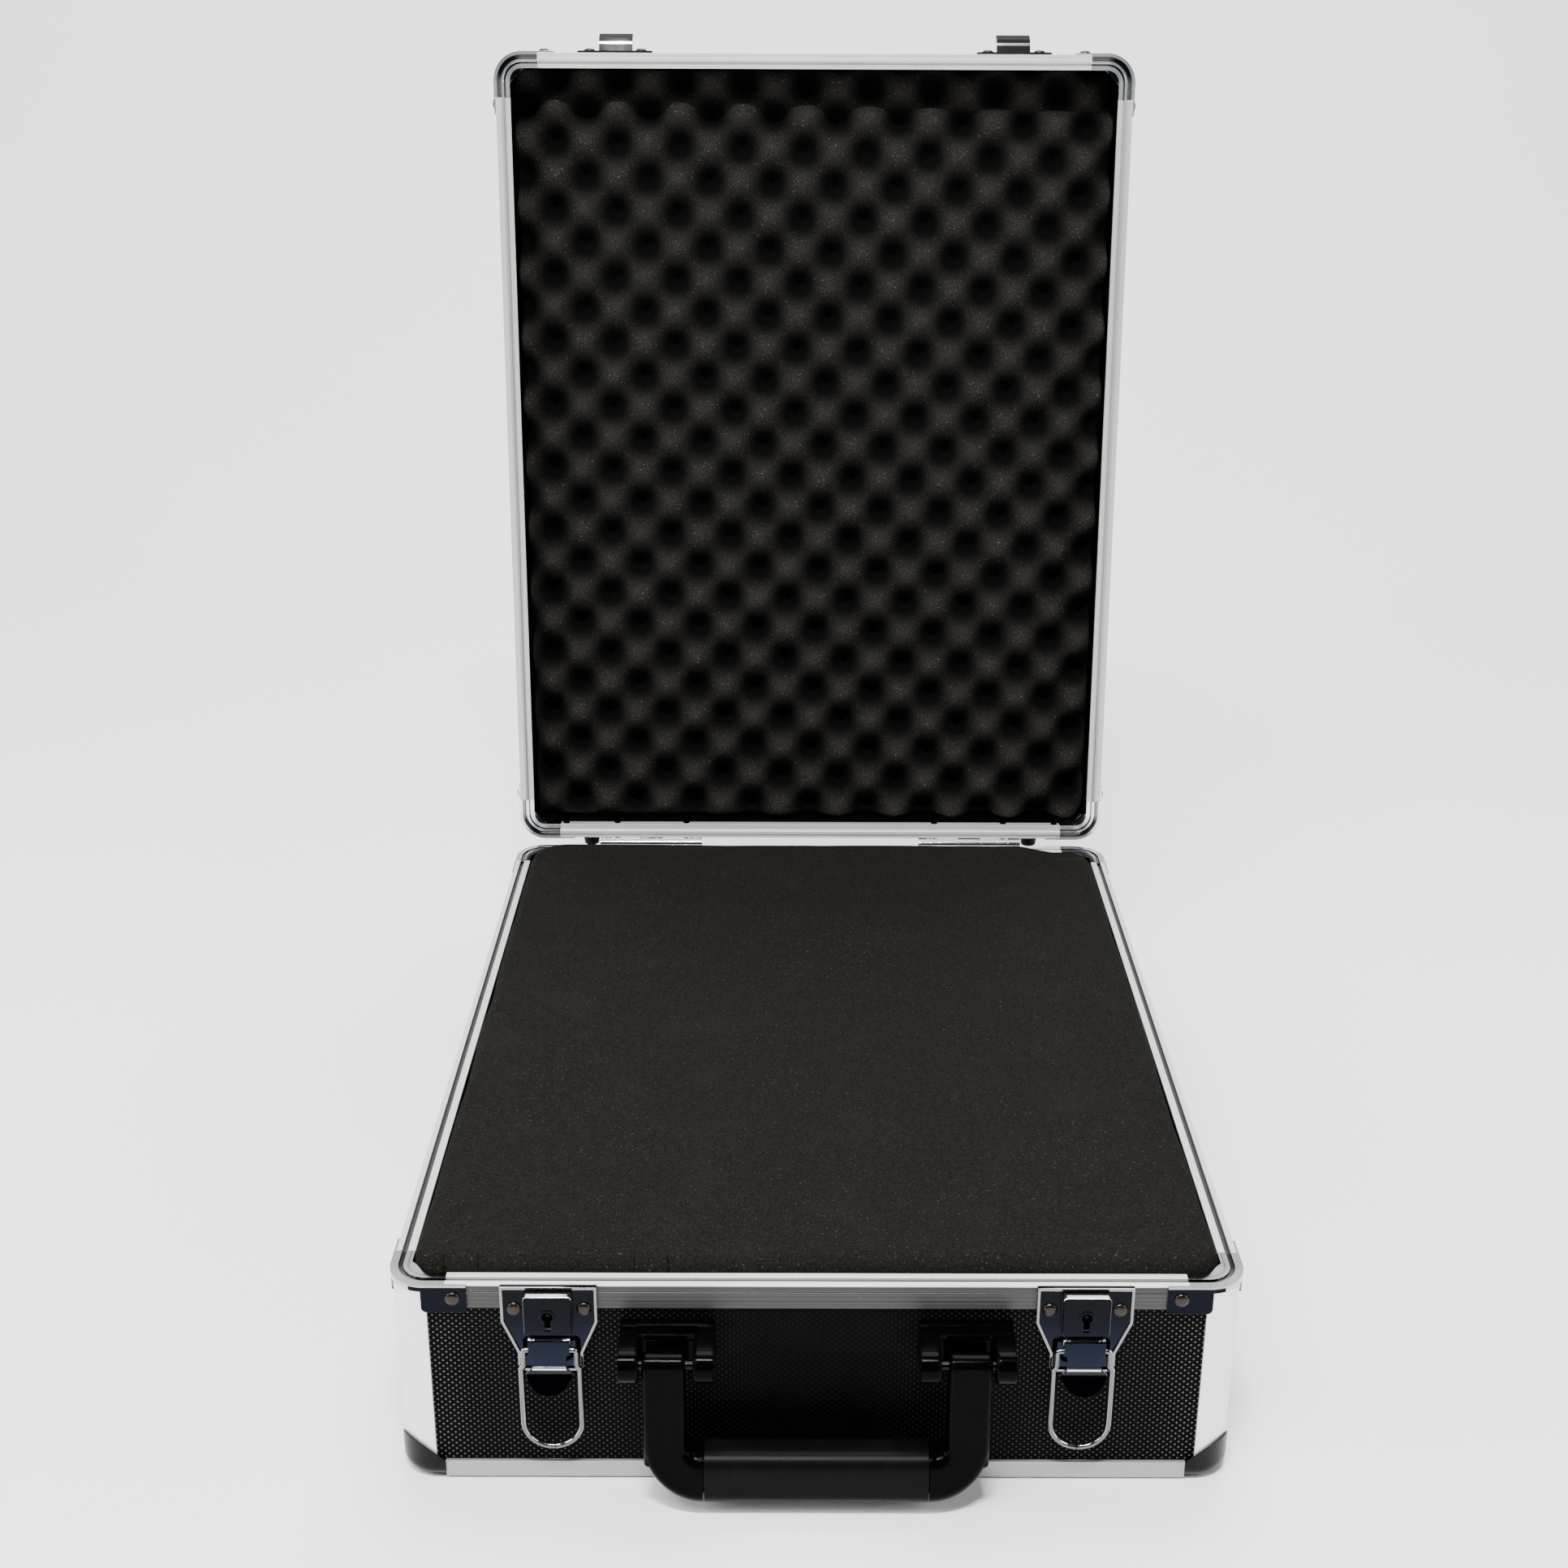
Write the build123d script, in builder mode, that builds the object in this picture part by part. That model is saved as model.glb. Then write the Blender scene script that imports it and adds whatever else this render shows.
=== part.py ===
from build123d import *
import os
from math import cos, radians, sin
from typing import NamedTuple

os.makedirs("parts", exist_ok=True)

# Flight case for a mixer, lid open. Millimetres. +X right, +Y back, +Z up.
# The origin is the centre of the underside of the base.

# Case
case_width = 350.0
case_depth = 450.0
base_height = 98.0
lid_height = 52.0
lid_open_angle = 95.0
closed_gap = 0.3
corner_radius = 15.0
panel_thickness = 4.0
panel_inset = 1.6
field_margin = 15.3
field_corner = 14.0
panel_inner = panel_inset + panel_thickness
wall = 1.5
edge_fit = 0.1

# Rim extrusions
rim_width = 8.0
rim_face = 11.8
rim_web = 3.2
rim_inner_wall = 1.4
rim_inner_depth = 9.0
groove_start = 2.4
groove_width = 2.4
groove_depth = 1.8
tongue_start = 2.7
tongue_width = 1.7
tongue_height = 1.2
face_step = 0.3

# Corner profiles, edge profiles and ball corners
profile_cover = 15.5
profile_web = 12.0
profile_lip = 19.0
edge_face = 9.5
edge_flange = 15.0
edge_round = 3.0
ball_reach = 19.0
ball_proud = 0.8
ball_round = 7.0
ball_core = 7.5
ball_top = 26.2
ball_slope = 0.87

# Pressed rim corners
press_leg = 23.5
press_proud = 0.9
press_sheet = 1.2
press_drop = 0.15
press_lip = 3.3
press_inner_lip = 0.8
press_inner_depth = 4.0
press_chamfer = 8.0
flange_start = 13.6
flange_end = 32.3
flange_height = 13.2
flange_round = 2.2

# Rivets and screws
rivet_shank = 1.6
rivet_hole = 1.7
rivet_head = 3.15
rivet_dome = 1.5
rivet_tail = 0.8
rivet_tail_radius = 1.9
corner_rivet_inset = 26.6
corner_rivet_depth = 6.4

# Foam
foam_gap = 8.3
foam_corner = 8.5
foam_proud = 6.5
foam_round = 6.0
foam_pad = 20.0
lid_foam_gap = 7.4
lid_foam_slab = 12.0
bump_height = 17.0
bump_pitch_x = 17.6
bump_pitch_y = 18.4
bump_turn = -2.0
bump_base = 11.8
bump_top = 4.4

# Hinges
hinge_axis_out = 3.6
hinge_x = 96.5
knuckle_radius = 3.0
hinge_pin_radius = 1.5
running_clearance = 0.05
knuckle_widths = [7.6, 16.2, 14.2, 16.2, 7.6]
knuckle_gap = 0.2
leaf_sheet = 1.2
leaf_height = 27.0
leaf_relief = 3.5
hinge_rivets_x = 21.0
hinge_rivets_depth = [7.5, 20.0]

# Rear feet
foot_x = 133.4
foot_radius = 5.3
foot_height = 6.6
lid_foot_depth = 8.5
base_foot_depth = 80.0

# Latches
latch_x = 109.3
plate_half = 19.7
plate_foot_half = 13.4
plate_straight = 17.0
plate_taper_end = 32.0
plate_length = 40.8
plate_sheet = 1.2
plate_bead = 0.9
latch_rivet_x = 14.3
latch_rivet_depth = 11.0
box_half = 9.9
box_top = 1.8
box_bottom = 20.3
box_front = 7.0
box_wall = 0.9
keyhole_depth = 11.0
keyhole_radius = 2.25
key_slot = 2.5
key_slot_end = 18.0
lever_pivot_depth = 24.8
lever_pivot_out = 4.4
lever_pin_radius = 1.25
lever_half = 8.4
lever_cheek = 1.1
lever_sheet = 1.2
lever_front = 7.8
lever_waist = 6.9
tab_half = 9.3
tab_start = 35.7
tab_length = 12.0
tab_tilt = 28.0
bail_pivot_depth = 28.3
bail_pivot_out = 5.2
bail_wire = 1.15
bail_neck = 10.9
bail_half = 12.1
bail_reach = 48.0
bolt_travel = 3.2
bolt_sheet = 1.3
bolt_tongue = 4.0
bolt_out = 4.6

# Catches
catch_half = 20.5
catch_height = 25.0
catch_sheet = 1.2
catch_rivet_x = 14.2
catch_rivet_depth = 7.5
hook_half = 9.2
hook_out = 10.7
hook_bend = 6.7
hook_foot = 8.0
hook_shoulder = 12.8
hook_lip = 4.5

# Handle
bracket_x = 61.0
bracket_half = 19.2
bracket_slot = 10.95
bracket_top = 17.6
bracket_bottom = 36.4
bracket_plate = 2.5
bridge_out = 9.0
bridge_drop = 3.0
ear_radius = 7.2
handle_pivot_depth = 27.3
handle_pivot_out = 16.0
handle_pin_radius = 1.95
arm_x = 62.0
arm_width = 17.6
arm_thickness = 11.0
grip_drop = 52.4
grip_height = 25.0
grip_thickness = 18.6
grip_half = 46.0
grip_round = 7.5
corner_sweep = 15.5
core_height = 18.0
core_thickness = 12.0
handle_screw_x = 5.5
handle_screw_radius = 1.9


class Shell(NamedTuple):
    """Half of the case: x right, y back, z up as closed, from its mating plane's centre."""

    name: str
    frame: Plane
    into: int
    height: float

    def point(self, x, y, depth):
        return self.frame.from_local_coords(Vector(x, y, self.into * depth))

    def direction(self, x, y, depth):
        return self.point(x, y, depth) - self.point(0, 0, 0)


turn = radians(lid_open_angle)
lid_up = Vector(0, sin(turn), cos(turn))
lid_forward = Vector(0, -cos(turn), sin(turn))
hinge_axis = Vector(0, case_depth / 2 + hinge_axis_out, base_height)
lid_centre = hinge_axis + lid_forward * (hinge_axis_out + case_depth / 2) + lid_up * closed_gap

base = Shell("base", Plane((0, 0, base_height), x_dir=(1, 0, 0), z_dir=(0, 0, 1)), -1, base_height)
lid = Shell("lid", Plane(lid_centre, x_dir=(1, 0, 0), z_dir=lid_up), 1, lid_height)
shells = [base, lid]

outward = {"front": (0, -1), "rear": (0, 1), "left": (-1, 0), "right": (1, 0)}
side_length = {"front": case_width, "rear": case_width, "left": case_depth, "right": case_depth}
corners = [(-1, -1), (1, -1), (-1, 1), (1, 1)]


def section_plane(shell, side):
    """Plane across a side: x inward from the outer face, y into the shell from the rim."""
    out_x, out_y = outward[side]
    start = shell.point(out_x * case_width / 2, out_y * case_depth / 2, 0)
    inward = shell.direction(-out_x, -out_y, 0)
    return Plane(start, x_dir=inward, z_dir=inward.cross(shell.direction(0, 0, 1)))


def face_plane(shell, side):
    """Plane on a side's outer face: y up as closed, z outward, 0 at the mating plane."""
    out_x, out_y = outward[side]
    start = shell.point(out_x * case_width / 2, out_y * case_depth / 2, 0)
    out = shell.direction(out_x, out_y, 0)
    return Plane(start, x_dir=shell.frame.z_dir.cross(out), z_dir=out)


def corner_plane(shell, sign_x, sign_y):
    """Plane at a corner of the mating plane: x and y run along the two faces, z into the shell."""
    start = shell.point(sign_x * case_width / 2, sign_y * case_depth / 2, 0)
    along_x = shell.direction(-sign_x, 0, 0)
    along_y = shell.direction(0, -sign_y, 0)
    into = shell.direction(0, 0, 1)
    first = along_x if along_x.cross(along_y).dot(into) > 0 else along_y
    return Plane(start, x_dir=first, z_dir=into)


def shifted(plane, x, y, z=0.0):
    """The same plane with its origin moved by x, y, z of its own."""
    return Plane(plane.from_local_coords(Vector(x, y, z)), x_dir=plane.x_dir, z_dir=plane.z_dir)


def across(plane):
    """Section plane of a face plane: x outward, y up as closed, z along the side."""
    return Plane(plane.origin, x_dir=plane.z_dir, z_dir=plane.z_dir.cross(plane.y_dir))


def save(piece, label):
    piece.part.label = label
    export_step(piece.part, f"parts/{label}.step")


# Places of the fasteners on each side, as (along the side, depth from the mating plane)


def corner_spots(side):
    reach = side_length[side] / 2 - corner_rivet_inset
    return [(-reach, corner_rivet_depth), (reach, corner_rivet_depth)]


latch_spots = [
    (centre + step, latch_rivet_depth)
    for centre in (-latch_x, latch_x)
    for step in (-latch_rivet_x, latch_rivet_x)
]
catch_spots = [
    (centre + step, catch_rivet_depth)
    for centre in (-latch_x, latch_x)
    for step in (-catch_rivet_x, catch_rivet_x)
]
hinge_spots = [
    (centre + step, depth)
    for centre in (-hinge_x, hinge_x)
    for step in (-hinge_rivets_x, hinge_rivets_x)
    for depth in hinge_rivets_depth
]
screw_spots = [
    (centre + step, handle_pivot_depth)
    for centre in (-bracket_x, bracket_x)
    for step in (-handle_screw_x, handle_screw_x)
]


def fastener_spots(shell, side):
    spots = list(corner_spots(side))
    if side == "front":
        spots += latch_spots if shell is base else catch_spots
    if side == "rear":
        spots += hinge_spots
    return spots


def drill(shell, side, spots, radius, reach=rim_width + 2):
    """Cuts round holes through the part being built, square to a side's face."""
    with BuildSketch(face_plane(shell, side)) as holes:
        with Locations(*[(along, shell.into * depth) for along, depth in spots]):
            Circle(radius)
    extrude(holes.sketch, amount=reach, both=True, mode=Mode.SUBTRACT)


# Shell panels, rims and profiles


def side_panel(shell, side):
    length = side_length[side]
    top = rim_web + edge_fit
    bottom = shell.height - wall - edge_fit
    with BuildPart() as panel:
        with BuildSketch(section_plane(shell, side)):
            with Locations(((panel_inset + panel_inner) / 2, (top + bottom) / 2)):
                Rectangle(panel_thickness, bottom - top)
        extrude(amount=length / 2 - profile_web - wall, both=True)
        drill(shell, side, fastener_spots(shell, side), rivet_hole)
        if shell is base and side == "front":
            drill(shell, side, screw_spots, handle_screw_radius + edge_fit)
    return panel


def large_panel(shell):
    inner = shell.height - panel_inner
    plane = Plane(shell.point(0, 0, inner), x_dir=(1, 0, 0), z_dir=shell.direction(0, 0, 1))
    with BuildPart() as panel:
        with BuildSketch(plane):
            Rectangle(case_width - 2 * panel_inner - 0.2, case_depth - 2 * panel_inner - 0.2)
        extrude(amount=panel_thickness)
        # Its middle is flush with the edge profiles, so the closed case lies flat on it
        with BuildSketch(plane.offset(panel_thickness)) as field:
            Rectangle(case_width - 2 * field_margin, case_depth - 2 * field_margin)
            chamfer(field.vertices(), field_corner)
        extrude(amount=panel_inset)
    return panel


def rim(shell, side):
    """Straight rim extrusion, with a groove on the base and a tongue on the lid."""
    face_ledge = 0.8
    line_depth = 3.7
    band_end = 8.6
    line_width = 0.5
    inner_start = panel_inner + edge_fit
    with BuildPart() as extrusion:
        with BuildSketch(section_plane(shell, side)):
            with BuildLine():
                Polyline(
                    (0, 0),
                    (rim_width, 0),
                    (rim_width, 2.0),
                    (inner_start + rim_inner_wall, rim_web),
                    (inner_start + rim_inner_wall, rim_inner_depth),
                    (inner_start, rim_inner_depth),
                    (inner_start, rim_web),
                    (wall, rim_web),
                    (wall, rim_face),
                    (face_step, rim_face),
                    (face_step, band_end),
                    (face_step / 2, band_end - face_step),
                    (face_step / 2, line_depth + line_width),
                    (face_step + 0.2, line_depth + line_width / 2),
                    (face_step / 2, line_depth),
                    (face_step, face_ledge + face_step),
                    (0, face_ledge),
                    close=True,
                )
            make_face()
            if shell is base:
                with Locations((groove_start + groove_width / 2, groove_depth / 2)):
                    Rectangle(groove_width, groove_depth, mode=Mode.SUBTRACT)
            else:
                with Locations((tongue_start + tongue_width / 2, -tongue_height / 2)):
                    Rectangle(tongue_width, tongue_height)
                with Locations((rim_width, 0)):
                    Rectangle(2 * (rim_width - tongue_start - tongue_width), 1.0, mode=Mode.SUBTRACT)
        extrude(amount=side_length[side] / 2 - press_leg, both=True)
        drill(shell, side, fastener_spots(shell, side), rivet_hole)
    return extrusion


def corner_profiles(shell):
    """Four quarter-round extrusions, each with a channel for the two panels it joins."""
    arc_middle = corner_radius * (1 - cos(radians(45)))
    inner_radius = corner_radius - wall
    inner_middle = corner_radius - inner_radius * cos(radians(45))
    start = press_drop + press_sheet + edge_fit
    end = shell.height - ball_core - edge_fit
    lip_outer = panel_inner + edge_fit
    lip_inner = lip_outer + rim_inner_wall
    with BuildPart() as profiles:
        for sign_x, sign_y in corners:
            with BuildSketch(corner_plane(shell, sign_x, sign_y).offset(start)):
                with BuildLine():
                    Line((profile_cover, wall), (profile_cover, 0))
                    Line((profile_cover, 0), (corner_radius, 0))
                    ThreePointArc((corner_radius, 0), (arc_middle, arc_middle), (0, corner_radius))
                    Line((0, corner_radius), (0, profile_cover))
                    Line((0, profile_cover), (wall, profile_cover))
                    Line((wall, profile_cover), (wall, corner_radius))
                    ThreePointArc((wall, corner_radius), (inner_middle, inner_middle), (corner_radius, wall))
                    Line((corner_radius, wall), (profile_cover, wall))
                make_face()
                for flip in (False, True):
                    web = (profile_web + 0.7, (1.2 + lip_inner) / 2)
                    lip = ((profile_web + profile_lip) / 2, (lip_outer + lip_inner) / 2)
                    with Locations(web[::-1] if flip else web):
                        Rectangle(1.4, lip_inner - 1.2, rotation=90 if flip else 0)
                    with Locations(lip[::-1] if flip else lip):
                        Rectangle(profile_lip - profile_web, rim_inner_wall, rotation=90 if flip else 0)
            extrude(amount=end - start)
    return profiles


def edge_profiles(shell):
    """Four angle extrusions round the outer edge, between the ball corners."""
    bottom = shell.height
    with BuildPart() as profiles:
        for side, length in side_length.items():
            with BuildSketch(section_plane(shell, side)):
                with BuildLine():
                    FilletPolyline(
                        (0, bottom - edge_face),
                        (0, bottom),
                        (edge_flange, bottom),
                        radius=edge_round,
                    )
                    Polyline(
                        (edge_flange, bottom),
                        (edge_flange, bottom - wall),
                        (wall, bottom - wall),
                        (wall, bottom - edge_face),
                        (0, bottom - edge_face),
                    )
                make_face()
            extrude(amount=length / 2 - ball_reach - edge_fit, both=True)
    return profiles


def four_corners(shell, piece, depth):
    """Copies of one corner piece, its own x and y along the two faces, z into the shell."""
    with BuildPart() as group:
        for sign_x, sign_y in corners:
            with Locations(corner_plane(shell, sign_x, sign_y).offset(depth)):
                add(piece.part)
    return group


def outer_form(edge):
    """True for an edge on the rounded outer side of a corner piece."""
    middle = edge.center()
    return edge.geom_type == GeomType.CIRCLE or min(middle.X, middle.Y) < 0


# Moulded ball corner, with z = 0 at the outer face and the shell at negative z
ball_size = ball_reach + ball_proud
fit_corner = -edge_fit / 2
with BuildPart() as ball_corner:
    with BuildSketch(Plane.XY):
        with Locations((ball_size / 2 - ball_proud, ball_size / 2 - ball_proud)):
            Rectangle(ball_size, ball_size)
    extrude(amount=-ball_top)
    upright = ball_corner.edges().filter_by(Axis.Z).sort_by(Axis.X).group_by(Axis.Y)[0][0]
    fillet(upright, corner_radius + ball_proud)
    fillet(ball_corner.edges().group_by(Axis.Z)[-1].filter_by(outer_form), ball_round)
    # Room for the corner profile
    with BuildSketch(Plane.XY.offset(-ball_core)) as profile_room:
        with Locations((ball_size / 2 + fit_corner, ball_size / 2 + fit_corner)):
            Rectangle(ball_size, ball_size)
        fillet(profile_room.vertices().sort_by_distance((0, 0, -ball_core))[0], corner_radius - fit_corner)
    extrude(amount=-ball_top, mode=Mode.SUBTRACT)
    # Room for the two side panels and the large panel
    for x, y in (
        (profile_web, panel_inset - edge_fit),
        (panel_inset - edge_fit, profile_web),
        (panel_inner, panel_inner),
    ):
        with BuildSketch(Plane.XY.offset(-wall)):
            with Locations((x + ball_size / 2, y + ball_size / 2)):
                Rectangle(ball_size, ball_size)
        extrude(amount=-ball_top, mode=Mode.SUBTRACT)
    # The top edge slopes down from the corner along both faces
    split(
        bisect_by=Plane((0, 0, -ball_top), x_dir=(1, -1, 0), z_dir=(ball_slope, ball_slope, -1)),
        keep=Keep.BOTTOM,
    )


# Pressed rim corner, with z = 0 at the mating plane and the shell at positive z
press_outer = corner_radius + press_proud
press_middle = corner_radius - press_outer * cos(radians(45))
lip_offset = rim_width - press_inner_lip
lip_chamfer = rim_width + press_chamfer - press_inner_lip * 0.41
press_groove_start = 2.6
press_groove_end = 4.4
press_groove_depth = 0.6


def corner_band(start, end, leg):
    """Band between two distances from the faces, round the corner arc, with straight legs."""
    outer = corner_radius - (corner_radius - start) * cos(radians(45))
    inner = corner_radius - (corner_radius - end) * cos(radians(45))
    with BuildSketch(Plane.XY.offset(press_drop)) as band:
        with BuildLine():
            Line((leg, start), (corner_radius, start))
            ThreePointArc((corner_radius, start), (outer, outer), (start, corner_radius))
            Polyline((start, corner_radius), (start, leg), (end, leg), (end, corner_radius))
            ThreePointArc((end, corner_radius), (inner, inner), (corner_radius, end))
            Polyline((corner_radius, end), (leg, end), (leg, start))
        make_face()
    return band.sketch


with BuildPart() as rim_corner:
    with BuildSketch(Plane.XY.offset(press_drop)):
        with BuildLine():
            Line((press_leg, -press_proud), (corner_radius, -press_proud))
            ThreePointArc(
                (corner_radius, -press_proud),
                (press_middle, press_middle),
                (-press_proud, corner_radius),
            )
            Polyline(
                (-press_proud, corner_radius),
                (-press_proud, press_leg),
                (rim_width, press_leg),
                (rim_width, rim_width + press_chamfer),
                (rim_width + press_chamfer, rim_width),
                (press_leg, rim_width),
                (press_leg, -press_proud),
            )
        make_face()
    extrude(amount=press_sheet)
    extrude(corner_band(-press_proud, 0, flange_start + 2), amount=press_lip - press_drop)
    with BuildSketch(Plane.XY.offset(press_drop)):
        Polygon(
            (rim_width, press_leg),
            (rim_width, rim_width + press_chamfer),
            (rim_width + press_chamfer, rim_width),
            (press_leg, rim_width),
            (press_leg, lip_offset),
            (lip_chamfer, lip_offset),
            (lip_offset, lip_chamfer),
            (lip_offset, press_leg),
            align=None,
        )
    extrude(amount=press_inner_depth - press_drop)
    extrude(
        corner_band(press_groove_start, press_groove_end, press_leg),
        amount=press_groove_depth,
        mode=Mode.SUBTRACT,
    )
    with BuildSketch(Plane((0, 0, 0), x_dir=(1, 0, 0), z_dir=(0, -1, 0))) as flange:
        with Locations(((flange_start + flange_end) / 2, (press_drop + flange_height) / 2)):
            Rectangle(flange_end - flange_start, flange_height - press_drop)
        fillet(flange.vertices().group_by(Axis.Y)[-1], flange_round)
        with Locations((corner_rivet_inset, corner_rivet_depth)):
            Circle(rivet_hole, mode=Mode.SUBTRACT)
    extrude(amount=press_proud)
    mirror(about=Plane((0, 0, 0), x_dir=(1, 1, 0), z_dir=(1, -1, 0)))


def rivet(head_out, inside):
    """Domed rivet along z: head seat at head_out, tail past inside, both from the outer face."""
    with BuildPart() as part:
        with BuildSketch(Plane.XZ):
            with BuildLine():
                Polyline(
                    (0, head_out + rivet_dome),
                    (0, -inside - rivet_tail),
                    (rivet_tail_radius, -inside - rivet_tail),
                    (rivet_tail_radius, -inside),
                    (rivet_shank, -inside),
                    (rivet_shank, head_out),
                    (rivet_head, head_out),
                    (rivet_head * 0.86, head_out + rivet_dome * 0.62),
                    (rivet_head * 0.45, head_out + rivet_dome),
                    close=True,
                )
            make_face()
        revolve(axis=Axis.Z)
    return part


rim_inside = panel_inner + edge_fit + rim_inner_wall
corner_rivet = rivet(press_proud, rim_inside)
plate_rivet_rim = rivet(plate_sheet, rim_inside)
plate_rivet_panel = rivet(plate_sheet, panel_inner)


def rivets(shell):
    with BuildPart() as group:
        for side in outward:
            face = face_plane(shell, side)
            for along, depth in fastener_spots(shell, side):
                if (along, depth) in corner_spots(side):
                    kind = corner_rivet
                elif depth < rim_inner_depth:
                    kind = plate_rivet_rim
                else:
                    kind = plate_rivet_panel
                with Locations(shifted(face, along, shell.into * depth)):
                    add(kind.part)
    return group


for shell in shells:
    save(large_panel(shell), "base_bottom_panel" if shell is base else "lid_top_panel")
    for side in outward:
        save(side_panel(shell, side), f"{shell.name}_{side}_panel")
        save(rim(shell, side), f"{shell.name}_rim_{side}")
    save(corner_profiles(shell), f"{shell.name}_corner_profiles")
    save(edge_profiles(shell), f"{shell.name}_edge_profiles")
    save(four_corners(shell, ball_corner, shell.height), f"{shell.name}_ball_corners")
    save(four_corners(shell, rim_corner, 0), f"{shell.name}_rim_corners")
    save(rivets(shell), f"{shell.name}_rivets")


# Foam

foam_width = case_width - 2 * foam_gap
foam_depth = case_depth - 2 * foam_gap
foam_floor = panel_inner + 0.2

with BuildPart() as foam_pad_piece:
    with BuildSketch(Plane.XY.offset(foam_floor)) as outline:
        Rectangle(foam_width, foam_depth)
        chamfer(outline.vertices(), foam_corner)
    extrude(amount=foam_pad - foam_floor)
save(foam_pad_piece, "base_foam_pad")

with BuildPart() as pluck_foam:
    with BuildSketch(Plane.XY.offset(foam_pad)) as outline:
        Rectangle(foam_width, foam_depth)
        chamfer(outline.vertices(), foam_corner)
    extrude(amount=base_height + foam_proud - foam_pad)
    fillet(pluck_foam.edges().group_by(Axis.Z)[-1], foam_round)
save(pluck_foam, "base_pluck_foam")

# Egg-crate foam: rounded bumps on a staggered grid, rising from a slab on the lid's top panel
slab_outer = lid_height - panel_inner - 0.2
slab_inner = slab_outer - lid_foam_slab
lid_foam_width = case_width - 2 * lid_foam_gap
lid_foam_depth = case_depth - 2 * lid_foam_gap
bump_rows = int(lid_foam_depth / 2 / bump_pitch_y)
bump_lattice = [
    Vector(column * bump_pitch_x, row * bump_pitch_y).rotate(Axis.Z, bump_turn)
    for column in range(-bump_rows, bump_rows + 1)
    for row in range(-bump_rows, bump_rows + 1)
    if (column + row) % 2 == 1
]
bump_places = [
    place
    for place in bump_lattice
    if abs(place.X) < lid_foam_width / 2 - bump_base and abs(place.Y) < lid_foam_depth / 2 - bump_base
]
slab_plane = Plane(lid.point(0, 0, slab_outer), x_dir=(1, 0, 0), z_dir=lid.direction(0, 0, -1))
bump_plane = Plane(lid.point(0, 0, slab_inner), x_dir=(1, 0, 0), z_dir=lid.direction(0, 0, -1))

with BuildPart() as lid_foam:
    with BuildSketch(slab_plane) as outline:
        Rectangle(lid_foam_width, lid_foam_depth)
        chamfer(outline.vertices(), foam_corner)
    extrude(amount=lid_foam_slab)
    with Locations(*[shifted(bump_plane, place.X, place.Y) for place in bump_places]):
        Cone(bump_base, bump_top, bump_height, align=(Align.CENTER, Align.CENTER, Align.MIN))
save(lid_foam, "lid_foam")


# Hinges: the lid has the outer and middle knuckles, the base the two between them

knuckle_edges = [sum(knuckle_widths[:index]) - sum(knuckle_widths) / 2 for index in range(6)]


def hinge_leaf(shell, centre):
    """Leaf on a rear face with its curled knuckles, bored for the pin."""
    is_lid = shell is lid
    face = shifted(face_plane(shell, "rear"), centre, 0)
    section = across(face)
    axis_height = -closed_gap if is_lid else 0
    pin_hole = hinge_pin_radius + (running_clearance if is_lid else 0.01)
    own = [0, 2, 4] if is_lid else [1, 3]
    with BuildPart() as leaf:
        with BuildSketch(face) as sheet:
            with Locations((0, shell.into * (leaf_relief + leaf_height) / 2)):
                Rectangle(sum(knuckle_widths), leaf_height - leaf_relief)
            fillet(sheet.vertices().sort_by_distance((0, 0, 0))[2:], 2.5)
            with Locations(
                *[
                    (step, shell.into * depth)
                    for step in (-hinge_rivets_x, hinge_rivets_x)
                    for depth in hinge_rivets_depth
                ]
            ):
                Circle(rivet_hole, mode=Mode.SUBTRACT)
        extrude(amount=leaf_sheet)
        for index in own:
            middle = (knuckle_edges[index] + knuckle_edges[index + 1]) / 2
            with BuildSketch(section.offset(middle)):
                with Locations((hinge_axis_out, axis_height)):
                    Circle(knuckle_radius)
                reach = leaf_relief + 0.5
                with Locations((leaf_sheet / 2, shell.into * reach / 2)):
                    Rectangle(leaf_sheet, reach)
                with Locations((hinge_axis_out, axis_height)):
                    Circle(pin_hole, mode=Mode.SUBTRACT)
            extrude(amount=(knuckle_widths[index] - knuckle_gap) / 2, both=True)
    return leaf


with BuildPart() as hinge_pins:
    for centre in (-hinge_x, hinge_x):
        with BuildSketch(Plane(hinge_axis + Vector(centre, 0, 0), x_dir=(0, 1, 0), z_dir=(1, 0, 0))):
            Circle(hinge_pin_radius)
        extrude(amount=sum(knuckle_widths) / 2, both=True)
save(hinge_pins, "hinge_pins")

for side, sign in (("left", -1), ("right", 1)):
    save(hinge_leaf(base, -sign * hinge_x), f"hinge_base_leaf_{side}")
    save(hinge_leaf(lid, -sign * hinge_x), f"hinge_lid_leaf_{side}")


# Rear feet: tapered rubber buttons on which the closed case stands upright

foot_seat = {"base": -panel_inset, "lid": 0.0}

for shell, depth in ((base, base_foot_depth), (lid, lid_foot_depth)):
    with BuildPart() as feet:
        for centre in (-foot_x, foot_x):
            place = shifted(face_plane(shell, "rear"), centre, shell.into * depth, foot_seat[shell.name])
            with BuildSketch(place):
                Circle(foot_radius)
            extrude(amount=foot_height - foot_seat[shell.name], taper=9)
        tips = feet.faces().sort_by(Axis((0, 0, 0), shell.direction(0, 1, 0)))[-2:]
        fillet(tips.edges(), 1.2)
    save(feet, f"{shell.name}_rear_feet")


# Latches, drawn on the front face: x right, y up from the mating plane, z outward


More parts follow.
